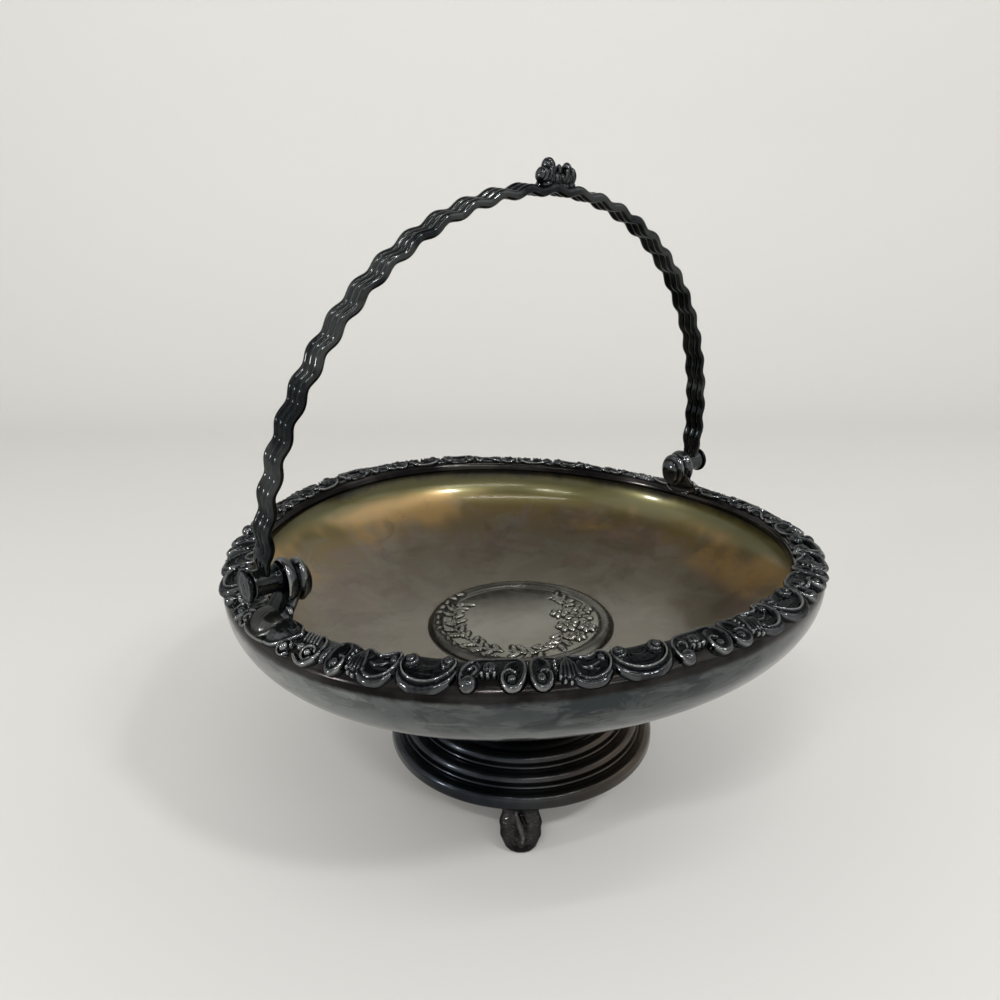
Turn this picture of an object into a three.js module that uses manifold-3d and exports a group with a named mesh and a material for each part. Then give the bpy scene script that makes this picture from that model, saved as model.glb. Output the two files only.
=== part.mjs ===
// A silver-plate brides basket: footed bowl, cast scroll border, stepped pedestal, three shell feet and a
// bail of three crimped rods that swings on two rivets. Millimetres, +Z up, origin on the table under the
// bowl's axis, X along the hinge line of the bail.
import * as THREE from 'three';
import { mergeVertices } from 'three/addons/utils/BufferGeometryUtils.js';
import Module from 'manifold-3d';

const wasm = await Module();
wasm.setup();

// Clearances
const SOLDER_GAP = 0.3; // between pieces that are soldered or seated on each other
const SIDE_PLAY = 0.4; // on each side of a knuckle, along the hinge line
const PIN_PLAY = 0.4; // between the rivet's shank and the knuckle's bore

// Bowl
const BOWL_RADIUS = 127; // outside, at the widest line
const BOWL_WIDEST_HEIGHT = 112.3; // of the widest line above the table
const BOWL_BOTTOM_HEIGHT = 73.1; // underside of the flat bottom
const BOWL_FLAT_RADIUS = 44;
const BOWL_SHEET = 1.2;
const WALL_FULLNESS = 0.52; // how far down the wall stays upright, as a share of the bowl's depth
const FLOOR_REACH = 0.73; // how far out the floor stays level, as a share of its width
const FLOOR_LIFT = 3.4; // rise of the floor where the wall's curve is aimed
const SHOULDER_WIDTH = 10.5; // from the widest line in to the crest
const SHOULDER_RISE = 6.4; // from the widest line up to the crest
const LIP_WIDTH = 3.2; // from the crest in to the lip's edge
const LIP_DROP = 4.8; // from the crest down to the lip's edge
const RIM_SWAY = 4.2; // the rim dips by this at the hinges and lifts by it between them
const BOWL_FACETS = 40;

// Scroll border
const BORDER_THICKNESS = 1.3;
const BORDER_RELIEF = 1.7; // how far the boldest motif stands above the backing
const SCROLLS_PER_SIDE = 5;
const LEAF_LENGTH_ANGLE = 13.7; // degrees of rim that the leaf length fills
const BORDER_EDGE = 45; // place on the shoulder of the backing's outer edge, degrees from the widest line
const BORDER_INNER_EDGE = 108; // and of its inner edge, past the crest
const CREST_REACH = 16; // how many degrees further in the boldest motif reaches
const DROP_REACH = 23; // how many degrees down the shoulder the boldest motif hangs

// Hinge
const PIVOT_RISE = 14.3; // hinge line above the sheet of the rim where the lug sits
const EAR_RADIUS = 7;
const EAR_THICKNESS = 4.4;
const EAR_INSET = 5.3; // from the rim's crest in to the middle of the ear
const KNUCKLE_RADIUS = 5.3;
const KNUCKLE_LENGTH = 10.8;
const KNUCKLE_COLLAR = 1.2; // width of the raised ring at each end of the barrel
const KNUCKLE_WAIST = 0.5; // how far the barrel sinks between its collars
const PIN_RADIUS = 1.8;
const PIN_HEAD_RADIUS = 6.2;
const PIN_HEAD_THICKNESS = 1.8;
const PIN_SEAT_DEPTH = 3; // of the rivet's end in the ear
const LUG_FOOT_WIDTH = 18; // of the leaf along the rim
const LUG_FOOT_THICKNESS = 2;
const LUG_EDGE = 64; // place on the shoulder where the leaf's corners end, degrees from the widest line
const LUG_DROP = 42; // how many degrees further down its middle hangs
const LUG_INNER_EDGE = 100; // place of its corners inside the crest
const LUG_LIP_REACH = 35; // how many degrees further in its middle reaches
const NECK_WIDTH = 8.6;
const NECK_FLARE_MARGIN = 1; // from the leaf's side in to the neck's flared foot

// Bail
const BAIL_LEG_RISE = 4.2; // straight foot of each leg, above the hinge line
const BAIL_ARCH_RISE = 127.3; // from there up to the top of the middle line
const BAIL_LEAN = 7; // degrees that the bail stands off upright at rest
const STRAND_COUNT = 3;
const STRAND_DIAMETER = 3.15;
const WAVE_LENGTH = 12.7; // of the crimp that all the strands share
const WAVE_HEIGHT = 1.2; // of the crimp, to each side of the middle line, within the bail's plane
const STEPS_PER_WAVE = 4;
const STRAND_SIDES = 5;
const FINIAL_OFFSET = 3; // off the bail's middle, along the hinge line
const FINIAL_LENGTH = 15;
const FINIAL_WIDTH = 7;
const BUD_HEIGHT = 9;
const FINIAL_BASE = 1.3; // thickness of its saddle plate
const FINIAL_BEVEL = 0.4;
const BUD_RADIUS = 3.4;
const BUD_TILT = 24; // degrees outward
const BUD_OFFSET = 2.4; // from the finial's middle to the foot of a bud
const RIGHT_BUD_SHARE = 0.86; // height of the right bud, as a share of the left one's
const CURL_RADIUS = 1.9; // of the curled tip outside each bud

// Medallion
const MEDALLION_MARGIN = 1.2; // from the bowl's flat edge in to the ring
const MEDALLION_RING_WIDTH = 6.4;
const MEDALLION_RING_RISE = 2.6;
const MEDALLION_SHEET = 0.8;
const MEDALLION_FACETS = 30;

// Pedestal
const PEDESTAL_RADIUS = 61.7; // of the bottom edge
const PEDESTAL_EDGE_HEIGHT = 19.6; // underside of the turned-in bottom edge above the table
const PEDESTAL_TOP_RADIUS = 30;
const WAIST_RADIUS = 25.5;
const PEDESTAL_SHEET = 1.2;
const PEDESTAL_EDGE_WIDTH = 8.5; // of the turned-in bottom edge
const SKIRT_HEIGHT = 4.6;
const STEP_RISE = 5; // between one moulding and the next
const STEP_RUN = 6.3;
const STEP_TREAD = 4.4; // width of a moulding's top
const STEP_ROUNDING = 1.8; // of its shoulder
const STEP_FACE = 3.6; // height of its rounded face
const PEDESTAL_FACETS = 26;

// Feet
const FOOT_COUNT = 3;
const FOOT_ANGLE = 228.6; // of the first foot, degrees from +X
const FOOT_WIDTH = 17.6;
const FOOT_TOP_WIDTH = 12.4;
const FOOT_DEPTH = 8.6;
const FOOT_SOLE_WIDTH = 6.4;
const FOOT_SPLAY = 3.4; // how far the sole stands out past the top
const FOOT_LOBE = 0.7; // how far the three lobes of the shell stand out

const CREST_RADIUS = BOWL_RADIUS - SHOULDER_WIDTH;
const CREST_HEIGHT = BOWL_WIDEST_HEIGHT + SHOULDER_RISE;
const STRAND_SPACING = STRAND_DIAMETER + SOLDER_GAP;
const MEDALLION_RADIUS = BOWL_FLAT_RADIUS - MEDALLION_MARGIN;
const rad = THREE.MathUtils.degToRad;

// Shared solid and mesh helpers

function clean(geometry) {
  const bare = geometry.clone();
  bare.deleteAttribute('normal');
  bare.deleteAttribute('uv');
  const merged = mergeVertices(bare, 1e-4);
  const old = merged.index.array;
  const kept = [];
  for (let i = 0; i < old.length; i += 3) {
    const [a, b, c] = [old[i], old[i + 1], old[i + 2]];
    if (a !== b && b !== c && c !== a) kept.push(a, b, c);
  }
  merged.setIndex(kept);
  return outward(merged);
}

// Turns a closed mesh the right way out.
function outward(geometry) {
  const p = geometry.getAttribute('position');
  const index = geometry.index.array;
  const corner = (i) => new THREE.Vector3().fromBufferAttribute(p, index[i]);
  let volume = 0;
  for (let i = 0; i < index.length; i += 3) {
    volume += corner(i).dot(corner(i + 1).cross(corner(i + 2)));
  }
  if (volume >= 0) return geometry;
  const turned = [];
  for (let i = 0; i < index.length; i += 3) turned.push(index[i], index[i + 2], index[i + 1]);
  geometry.setIndex(turned);
  return geometry;
}

function toSolid(geometry) {
  const merged = clean(geometry);
  const vertProperties = new Float32Array(merged.getAttribute('position').array);
  const triVerts = new Uint32Array(merged.index.array);
  return new wasm.Manifold(new wasm.Mesh({ numProp: 3, vertProperties, triVerts }));
}

function toGeometry(solid) {
  const mesh = solid.getMesh();
  const geometry = new THREE.BufferGeometry();
  geometry.setAttribute('position', new THREE.BufferAttribute(new Float32Array(mesh.vertProperties), 3));
  geometry.setIndex(Array.from(mesh.triVerts));
  return geometry;
}

function union(geometries) {
  return toGeometry(geometries.map(toSolid).reduce((sum, next) => sum.add(next)));
}

function cut(geometry, tool) {
  return toGeometry(toSolid(geometry).subtract(toSolid(tool)));
}

// Revolves [radius, height] pairs round Z. The pairs start and end on the axis, or close on themselves.
function revolve(profile, segments) {
  const points = profile.map(([radius, height]) => new THREE.Vector2(radius, height));
  const geometry = new THREE.LatheGeometry(points, segments);
  geometry.rotateX(Math.PI / 2);
  return clean(geometry);
}

// Joins a row of closed rings, each a list of Vector3 with as many points, and caps both ends.
function loft(rings) {
  const size = rings[0].length;
  const positions = rings.flat().flatMap((point) => point.toArray());
  const index = [];
  for (let r = 0; r + 1 < rings.length; r += 1) {
    for (let i = 0; i < size; i += 1) {
      const a = r * size + i;
      const b = r * size + ((i + 1) % size);
      index.push(a, b, a + size, b, b + size, a + size);
    }
  }
  capEnds(rings, positions, index);
  const geometry = new THREE.BufferGeometry();
  geometry.setAttribute('position', new THREE.Float32BufferAttribute(positions, 3));
  geometry.setIndex(index);
  return outward(geometry);
}

function capEnds(rings, positions, index) {
  const size = rings[0].length;
  const last = (rings.length - 1) * size;
  for (const [ring, start, flip] of [[rings[0], 0, true], [rings[rings.length - 1], last, false]]) {
    const middle = ring.reduce((sum, point) => sum.add(point), new THREE.Vector3()).divideScalar(size);
    const centre = positions.length / 3;
    positions.push(...middle.toArray());
    for (let i = 0; i < size; i += 1) {
      const a = start + i;
      const b = start + ((i + 1) % size);
      if (flip) index.push(centre, b, a);
      else index.push(centre, a, b);
    }
  }
}

// A cylinder whose axis runs along X from one place to another.
function barX(radius, from, to, sides) {
  const bar = new THREE.CylinderGeometry(radius, radius, to - from, sides);
  bar.rotateZ(Math.PI / 2);
  bar.translate((from + to) / 2, 0, 0);
  return bar;
}

function bezier(points, count) {
  const [a, b, c, d] = points.map(([x, y]) => new THREE.Vector2(x, y));
  return new THREE.CubicBezierCurve(a, b, c, d).getPoints(count).map((p) => [p.x, p.y]);
}

// Moves an open outline sideways by a distance, to the left of its direction of travel.
function offsetOutline(outline, distance) {
  return outline.map((point, i) => {
    const before = outline[Math.max(i - 1, 0)];
    const after = outline[Math.min(i + 1, outline.length - 1)];
    const run = [after[0] - before[0], after[1] - before[1]];
    const length = Math.hypot(...run);
    return [point[0] - (run[1] / length) * distance, point[1] + (run[0] / length) * distance];
  });
}

// Rim

// How far the rim is bent up or down at a place, growing towards the edge.
function sway(x, y) {
  const share = Math.hypot(x, y) / BOWL_RADIUS;
  return -RIM_SWAY * Math.cos(2 * Math.atan2(y, x)) * share ** 3;
}

function bend(geometry) {
  const p = geometry.getAttribute('position');
  for (let i = 0; i < p.count; i += 1) p.setZ(i, p.getZ(i) + sway(p.getX(i), p.getY(i)));
  return geometry;
}

// Section of the rim's outer face: 0 degrees at the widest line, 90 at the crest, 180 at the lip's edge.
function shoulder(degrees) {
  const angle = rad(degrees);
  if (degrees <= 90) {
    const rise = SHOULDER_RISE * Math.sin(angle);
    return [CREST_RADIUS + SHOULDER_WIDTH * Math.cos(angle), BOWL_WIDEST_HEIGHT + rise];
  }
  return [CREST_RADIUS + LIP_WIDTH * Math.cos(angle), CREST_HEIGHT - LIP_DROP + LIP_DROP * Math.sin(angle)];
}

// A point above the shoulder: place along the section, height over the sheet, and place round the rim.
function overShoulder(degrees, height, around) {
  const [radius, level] = shoulder(degrees);
  const before = shoulder(degrees - 1);
  const after = shoulder(degrees + 1);
  const run = [after[0] - before[0], after[1] - before[1]];
  const length = Math.hypot(...run);
  const r = radius + (run[1] / length) * height;
  const z = level - (run[0] / length) * height;
  const x = r * Math.cos(rad(around));
  const y = r * Math.sin(rad(around));
  return new THREE.Vector3(x, y, z + sway(x, y));
}

// Bowl

function bowlOutline() {
  const depth = BOWL_WIDEST_HEIGHT - BOWL_BOTTOM_HEIGHT;
  const width = BOWL_RADIUS - BOWL_FLAT_RADIUS;
  const wall = bezier([
    [BOWL_FLAT_RADIUS, BOWL_BOTTOM_HEIGHT],
    [BOWL_FLAT_RADIUS + width * FLOOR_REACH, BOWL_BOTTOM_HEIGHT + FLOOR_LIFT],
    [BOWL_RADIUS, BOWL_WIDEST_HEIGHT - depth * WALL_FULLNESS],
    [BOWL_RADIUS, BOWL_WIDEST_HEIGHT],
  ], 6);
  const rim = [24, 47, 68, 90, 120, 180].map(shoulder);
  return [...wall, ...rim];
}

function bowl() {
  const outside = bowlOutline();
  const inside = offsetOutline(outside, BOWL_SHEET);
  inside[0] = [BOWL_FLAT_RADIUS, BOWL_BOTTOM_HEIGHT + BOWL_SHEET];
  const profile = [
    [0, BOWL_BOTTOM_HEIGHT],
    ...outside,
    ...inside.reverse(),
    [0, BOWL_BOTTOM_HEIGHT + BOWL_SHEET],
  ];
  return bend(revolve(profile, BOWL_FACETS));
}

// Scroll border

// The motifs of one scroll length, in degrees of rim from its start: drop, small leaf, long scroll, open
// shell, and a lobed leaf between two drops. Reach, rise and inner are shares of the boldest motif's.
const MOTIFS_ANGLE = 31.5;
const SCROLL_MOTIFS = [
  { kind: 'drop', at: 1.9, half: 1.5, reach: 0.9, rise: 0.95, inner: 0.9 },
  { kind: 'leaf', at: 5.6, half: 1.4, reach: 0.65, rise: 0.7, inner: 0.2 },
  { kind: 'scroll', at: 9.4, half: 2.5, reach: 0.8, rise: 0.75, inner: 0.8 },
  { kind: 'shell', at: 16.6, half: 4.4, reach: 0.85, rise: 0.85, inner: 0.5 },
  { kind: 'drop', at: 23.1, half: 1.6, reach: 1, rise: 1, inner: 0.3 },
  { kind: 'leaf', at: 26.3, half: 1.5, reach: 0.25, rise: 0.9, inner: 1 },
  { kind: 'drop', at: 29.3, half: 1.5, reach: 1, rise: 1, inner: 0.3 },
];

// The motifs of the leaf length beside a hinge: bead, smooth leaf and a small curl.
const LEAF_MOTIFS = [
  { kind: 'drop', at: 4, half: 1.5, reach: 0.8, rise: 0.8, inner: 0.4 },
  { kind: 'leaf', at: 8.2, half: 2.2, reach: 0.5, rise: 1, inner: 0.9 },
  { kind: 'drop', at: 12, half: 1.4, reach: 0.6, rise: 0.7, inner: 0.6 },
];

// How strongly a motif is felt at a place along its length, 1 in its middle and 0 at its ends.
function swell(motif, at) {
  const share = (at - motif.at) / motif.half;
  return Math.abs(share) < 1 ? Math.sqrt(1 - share * share) : 0;
}

// Height of a motif's relief across the border, from 0 at the inner edge to 1 at the outer edge.
const RELIEF_ACROSS = {
  shell: (v) => 0.3 + 0.7 * Math.abs(1.7 * v - 0.7) ** 1.5,
  scroll: (v) => 0.3 + 0.7 * Math.abs(2 * v - 1) ** 1.5,
  drop: (v) => 0.2 + 0.8 * Math.exp(-(((v - 0.74) / 0.24) ** 2)),
  leaf: (v) => 0.25 + 0.75 * Math.sin(Math.PI * Math.min(1, v)),
};

function borderAt(motifs, at) {
  const felt = motifs.map((motif) => ({ motif, share: swell(motif, at) }));
  const boldest = (key) => Math.max(...felt.map(({ motif, share }) => motif[key] * share));
  const across = (v) => {
    return Math.max(...felt.map(({ motif, share }) => motif.rise * share * RELIEF_ACROSS[motif.kind](v)));
  };
  return {
    outer: BORDER_EDGE - DROP_REACH * boldest('reach'),
    inner: BORDER_INNER_EDGE + CREST_REACH * boldest('inner'),
    height: (v) => BORDER_THICKNESS + BORDER_RELIEF * across(v),
  };
}

// Places along a border length where its section is drawn: both ends, four on a shell, three on the rest.
function borderStations(motifs, length) {
  const shares = (motif) => (motif.kind === 'shell' ? [-0.88, -0.4, 0.4, 0.88] : [-0.8, 0, 0.8]);
  const inside = motifs.flatMap((motif) => shares(motif).map((share) => motif.at + motif.half * share));
  return [0, ...inside.filter((at) => at > 0.3 && at < length - 0.3).sort((a, b) => a - b), length];
}

const EDGE_ROUNDING = 0.45; // share of the height that is left at both edges
const ACROSS_TOP = [0, 0.25, 0.55, 0.82, 1];
// The cast back is hollowed a little, so that only its edges touch: place across and lift off the sheet.
const ACROSS_BACK = [[0.93, 0], [0.56, 0.5], [0.16, 0.3]];

function borderLength(motifs, start, length) {
  const rings = borderStations(motifs, length).map((at) => {
    const { outer, inner, height } = borderAt(motifs, at);
    const place = (v) => inner + (outer - inner) * v;
    const rise = (v) => height(v) * (v === 0 || v === 1 ? EDGE_ROUNDING : 1);
    const top = ACROSS_TOP.map((v) => overShoulder(place(v), SOLDER_GAP + rise(v), start + at));
    const back = ACROSS_BACK.map(([v, lift]) => overShoulder(place(v), SOLDER_GAP + lift, start + at));
    return [...top, ...back];
  });
  return loft(rings);
}

// Hinge

const RIM_AT_HINGE = CREST_HEIGHT + sway(CREST_RADIUS, 0);
const PIVOT_HEIGHT = RIM_AT_HINGE + PIVOT_RISE;
const EAR_MIDDLE = CREST_RADIUS - EAR_INSET;
const KNUCKLE_START = EAR_MIDDLE + EAR_THICKNESS / 2 + SIDE_PLAY;
const KNUCKLE_END = KNUCKLE_START + KNUCKLE_LENGTH;
const KNUCKLE_MIDDLE = (KNUCKLE_START + KNUCKLE_END) / 2;
const PIN_SIDES = 16;

// The leaf-shaped foot of a lug, draped over the rim at the +X side.
function lugFoot() {
  const half = (LUG_FOOT_WIDTH / 2 / CREST_RADIUS) * (180 / Math.PI);
  const rings = [-1, -0.8, -0.4, 0, 0.4, 0.8, 1].map((share) => {
    const rounded = Math.sqrt(1 - (share * 0.94) ** 2);
    const outer = LUG_EDGE - LUG_DROP * rounded;
    const inner = LUG_INNER_EDGE + LUG_LIP_REACH * rounded;
    const thickness = LUG_FOOT_THICKNESS * (0.55 + 0.45 * rounded);
    const place = (v) => inner + (outer - inner) * v;
    const around = half * share;
    const top = ACROSS_TOP.map((v) => overShoulder(place(v), SOLDER_GAP + thickness, around));
    const back = ACROSS_BACK.map(([v, lift]) => overShoulder(place(v), SOLDER_GAP + lift, around));
    return [...top, ...back];
  });
  return loft(rings);
}

// An upright ring of points, an ellipse drawn level at a height.
function levelRing(x, z, halfLength, halfWidth, count) {
  return Array.from({ length: count }, (_, i) => {
    const angle = (i / count) * 2 * Math.PI;
    return new THREE.Vector3(x + halfLength * Math.cos(angle), halfWidth * Math.sin(angle), z);
  });
}

// The flared neck that rises from the lug's foot and leans in to the ear.
function lugNeck() {
  const foot = RIM_AT_HINGE + SOLDER_GAP + LUG_FOOT_THICKNESS / 2;
  const rise = PIVOT_HEIGHT - foot;
  const footX = CREST_RADIUS - 1;
  const half = EAR_THICKNESS / 2;
  const flare = LUG_FOOT_WIDTH / 2 - NECK_FLARE_MARGIN;
  return loft([
    levelRing(footX, foot, half + 0.4, flare, 12),
    levelRing(footX - 0.4, foot + rise * 0.16, half + 0.2, flare * 0.8, 12),
    levelRing(footX - EAR_INSET * 0.35, foot + rise * 0.34, half, NECK_WIDTH / 2 + 0.2, 12),
    levelRing(EAR_MIDDLE, foot + rise * 0.62, half - 0.3, NECK_WIDTH / 2, 12),
    levelRing(EAR_MIDDLE, foot + rise * 0.85, half - 0.6, NECK_WIDTH / 2, 12),
  ]);
}

// The round ear, crowned on its inner side.
function lugEar() {
  const inner = -EAR_THICKNESS / 2;
  const outer = EAR_THICKNESS / 2;
  const ear = revolve([
    [0, inner],
    [EAR_RADIUS * 0.62, inner + 0.3],
    [EAR_RADIUS * 0.94, inner + 1.3],
    [EAR_RADIUS, 0.4],
    [EAR_RADIUS * 0.93, outer],
    [0, outer],
  ], 18);
  ear.rotateY(Math.PI / 2);
  ear.translate(EAR_MIDDLE, 0, PIVOT_HEIGHT);
  return ear;
}

function hingeLug() {
  const seatEnd = EAR_MIDDLE + EAR_THICKNESS / 2;
  const seat = barX(PIN_RADIUS + SOLDER_GAP, seatEnd - PIN_SEAT_DEPTH - SOLDER_GAP, seatEnd + 1, PIN_SIDES);
  seat.translate(0, 0, PIVOT_HEIGHT);
  return cut(union([lugFoot(), lugNeck(), lugEar()]), seat);
}

// Rivet: shank along +X with a dished head at its outer end.
function hingePin() {
  const start = EAR_MIDDLE + EAR_THICKNESS / 2 - PIN_SEAT_DEPTH;
  const head = KNUCKLE_END + SIDE_PLAY;
  const face = head + PIN_HEAD_THICKNESS;
  const pin = revolve([
    [0, start],
    [PIN_RADIUS, start],
    [PIN_RADIUS, head],
    [PIN_HEAD_RADIUS * 0.9, head],
    [PIN_HEAD_RADIUS, head + PIN_HEAD_THICKNESS * 0.6],
    [PIN_HEAD_RADIUS * 0.94, face],
    [PIN_HEAD_RADIUS * 0.74, face - 0.2],
    [PIN_HEAD_RADIUS * 0.4, face - 0.7],
    [0, face - 0.5],
  ], PIN_SIDES);
  pin.rotateY(Math.PI / 2);
  pin.translate(0, 0, PIVOT_HEIGHT);
  return pin;
}

// Bail

const KNUCKLE_FACETS = 16;

function bailKnuckle() {
  const bore = PIN_RADIUS + PIN_PLAY;
  const waist = KNUCKLE_RADIUS - KNUCKLE_WAIST;
  const slope = 0.8;
  const knuckle = revolve([
    [bore, KNUCKLE_START],
    [KNUCKLE_RADIUS, KNUCKLE_START],
    [KNUCKLE_RADIUS, KNUCKLE_START + KNUCKLE_COLLAR],
    [waist, KNUCKLE_START + KNUCKLE_COLLAR + slope],
    [waist, KNUCKLE_END - KNUCKLE_COLLAR - slope],
    [KNUCKLE_RADIUS, KNUCKLE_END - KNUCKLE_COLLAR],
    [KNUCKLE_RADIUS, KNUCKLE_END],
    [bore, KNUCKLE_END],
    [bore, KNUCKLE_START],
  ], KNUCKLE_FACETS);
  knuckle.rotateY(Math.PI / 2);
  return knuckle;
}

// Middle line of the bail in its own upright plane: X along the hinge line, Y up from it. It starts inside
// the knuckle's own radius, so that the strands are cut to the barrel's shape.
function bailLine() {
  const half = KNUCKLE_MIDDLE;
  const line = new THREE.CurvePath();
  line.add(new THREE.LineCurve(new THREE.Vector2(half, 1), new THREE.Vector2(half, BAIL_LEG_RISE)));
  line.add(new THREE.EllipseCurve(0, BAIL_LEG_RISE, half, BAIL_ARCH_RISE, 0, Math.PI, false));
  line.add(new THREE.LineCurve(new THREE.Vector2(-half, BAIL_LEG_RISE), new THREE.Vector2(-half, 1)));
  return line;
}

// Middle line of one strand. The strands lie side by side and wave together, so that their crimps nest.
function strandPath(number) {
  const line = bailLine();
  const waves = Math.round(line.getLength() / WAVE_LENGTH);
  const steps = waves * STEPS_PER_WAVE;
  const across = (number - (STRAND_COUNT - 1) / 2) * STRAND_SPACING;
  return Array.from({ length: steps + 1 }, (_, i) => {
    const middle = line.getPoint(i / steps);
    const run = line.getTangent(i / steps);
    const within = -WAVE_HEIGHT * Math.cos(((i + 0.5) / STEPS_PER_WAVE) * 2 * Math.PI);
    return new THREE.Vector3(middle.x + run.y * within, across, middle.y - run.x * within);
  });
}

// A round section of a strand, square to its run.
function strandSection(path, i) {
  const along = path[Math.min(i + 1, path.length - 1)].clone().sub(path[Math.max(i - 1, 0)]).normalize();
  const side = new THREE.Vector3(0, 1, 0).cross(along).normalize();
  const up = along.clone().cross(side);
  return Array.from({ length: STRAND_SIDES }, (_, k) => {
    const angle = ((k + 0.5) / STRAND_SIDES) * 2 * Math.PI;
    const spoke = side.clone().multiplyScalar(Math.cos(angle)).addScaledVector(up, Math.sin(angle));
    return path[i].clone().addScaledVector(spoke, STRAND_DIAMETER / 2);
  });
}

// One crimped strand, both ends coped to the knuckles they are soldered to.
function bailStrand(number) {
  const path = strandPath(number);
  const strand = loft(path.map((_, i) => strandSection(path, i)));
  const reach = KNUCKLE_END + KNUCKLE_RADIUS;
  return cut(strand, barX(KNUCKLE_RADIUS + SOLDER_GAP, -reach, reach, KNUCKLE_FACETS));
}

// One curled leaf bud of the finial, leaning along the bail.
function finialBud(height, tilt) {
  const bud = revolve([
    [0, -1],
    [BUD_RADIUS * 0.62, -1],
    [BUD_RADIUS * 0.8, height * 0.25],
    [BUD_RADIUS, height * 0.55],
    [BUD_RADIUS * 0.9, height * 0.8],
    [BUD_RADIUS * 0.45, height * 0.97],
    [0, height],
  ], 10);
  bud.rotateY(rad(tilt));
  return bud;
}

function bailFinial() {
  const crest = WAVE_HEIGHT * Math.cos(Math.PI / STEPS_PER_WAVE) + STRAND_DIAMETER / 2;
  const seat = BAIL_LEG_RISE + BAIL_ARCH_RISE + crest + SOLDER_GAP;
  const outline = new THREE.Shape();
  outline.absellipse(0, 0, FINIAL_LENGTH / 2, FINIAL_WIDTH / 2, 0, 2 * Math.PI);
  const base = new THREE.ExtrudeGeometry(outline, {
    depth: FINIAL_BASE - 2 * FINIAL_BEVEL,
    bevelThickness: FINIAL_BEVEL,
    bevelSize: FINIAL_BEVEL,
    bevelOffset: -FINIAL_BEVEL,
    bevelSegments: 1,
    curveSegments: 8,
  });
  base.translate(0, 0, FINIAL_BEVEL);
  const buds = [[-1, 1], [1, RIGHT_BUD_SHARE]].flatMap(([side, share]) => {
    const bud = finialBud(BUD_HEIGHT * share, side * BUD_TILT);
    bud.translate(side * BUD_OFFSET, 0, FINIAL_BASE);
    const curl = new THREE.SphereGeometry(CURL_RADIUS, 8, 6);
    curl.translate(side * (BUD_RADIUS + BUD_OFFSET), 0, BUD_HEIGHT * 0.6 * share);
    return [bud, curl];
  });
  const finial = union([base, ...buds]);
  finial.translate(FINIAL_OFFSET, 0, seat);
  return finial;
}

// Medallion

function centreMedallion() {
  const floor = BOWL_BOTTOM_HEIGHT + BOWL_SHEET + SOLDER_GAP;
  const top = floor + MEDALLION_SHEET;
  const ringMiddle = MEDALLION_RADIUS - MEDALLION_RING_WIDTH / 2;
  const inner = MEDALLION_RADIUS - MEDALLION_RING_WIDTH;
  return revolve([
    [0, floor],
    [MEDALLION_RADIUS - 0.4, floor],
    [MEDALLION_RADIUS, floor + 0.9],
    [ringMiddle + 1.6, floor + MEDALLION_RING_RISE * 0.88],
    [ringMiddle, floor + MEDALLION_RING_RISE],
    [ringMiddle - 1.6, floor + MEDALLION_RING_RISE * 0.85],
    [inner, top + 0.5],
    [inner - 1.4, top],
    [0, top + 0.6],
  ], MEDALLION_FACETS);
}

// Pedestal

function pedestalOutline() {
  const skirtTop = PEDESTAL_EDGE_HEIGHT + SKIRT_HEIGHT;
  const step = (number) => {
    const radius = PEDESTAL_RADIUS - number * STEP_RUN;
    const height = skirtTop + 2 + number * STEP_RISE;
    return [
      [radius - STEP_TREAD, height + 0.4],
      [radius - STEP_ROUNDING, height],
      [radius - 0.4, height - 1.5],
      [radius, height - STEP_FACE],
    ];
  };
  const neckFoot = step(2)[0];
  const top = BOWL_BOTTOM_HEIGHT - SOLDER_GAP;
  const neck = bezier([
    [PEDESTAL_TOP_RADIUS, top],
    [WAIST_RADIUS - 5, top - 12],
    [WAIST_RADIUS - 5, neckFoot[1] + 9],
    [neckFoot[0] - 1.5, neckFoot[1] + 0.6],
  ], 4);
  const edge = [PEDESTAL_RADIUS, PEDESTAL_EDGE_HEIGHT];
  return [...neck, ...step(2), ...step(1), ...step(0), edge];
}

function pedestal() {
  const outside = pedestalOutline();
  const inside = offsetOutline(outside, -PEDESTAL_SHEET);
  const last = inside.length - 1;
  inside[0] = [inside[0][0], BOWL_BOTTOM_HEIGHT - SOLDER_GAP - PEDESTAL_SHEET];
  inside[last] = [PEDESTAL_RADIUS - PEDESTAL_SHEET, PEDESTAL_EDGE_HEIGHT + PEDESTAL_SHEET];
  const turnedIn = PEDESTAL_RADIUS - PEDESTAL_EDGE_WIDTH;
  const profile = [
    [0, BOWL_BOTTOM_HEIGHT - SOLDER_GAP],
    ...outside,
    [turnedIn, PEDESTAL_EDGE_HEIGHT],
    [turnedIn, PEDESTAL_EDGE_HEIGHT + PEDESTAL_SHEET],
    ...inside.reverse(),
    [0, BOWL_BOTTOM_HEIGHT - SOLDER_GAP - PEDESTAL_SHEET],
  ];
  return revolve(profile, PEDESTAL_FACETS);
}

// Feet

// Level sections of a shell foot from the sole up: share of the height, half width, depth and how far out.
function footSections() {
  const height = PEDESTAL_EDGE_HEIGHT - SOLDER_GAP;
  return [
    [0, FOOT_SOLE_WIDTH / 2, 5, 1],
    [0.06, FOOT_SOLE_WIDTH / 2 + 1, 6, 1.05],
    [0.25, FOOT_WIDTH * 0.41, FOOT_DEPTH * 0.95, 0.92],
    [0.5, FOOT_WIDTH / 2, FOOT_DEPTH, 0.68],
    [0.72, FOOT_WIDTH * 0.46, FOOT_DEPTH * 0.92, 0.4],
    [0.9, FOOT_TOP_WIDTH / 2, FOOT_DEPTH * 0.78, 0.12],
    [1, FOOT_TOP_WIDTH / 2 - 0.4, FOOT_DEPTH * 0.74, 0],
  ].map(([share, half, depth, out]) => ({ z: share * height, half, depth, out: out * FOOT_SPLAY }));
}

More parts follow.
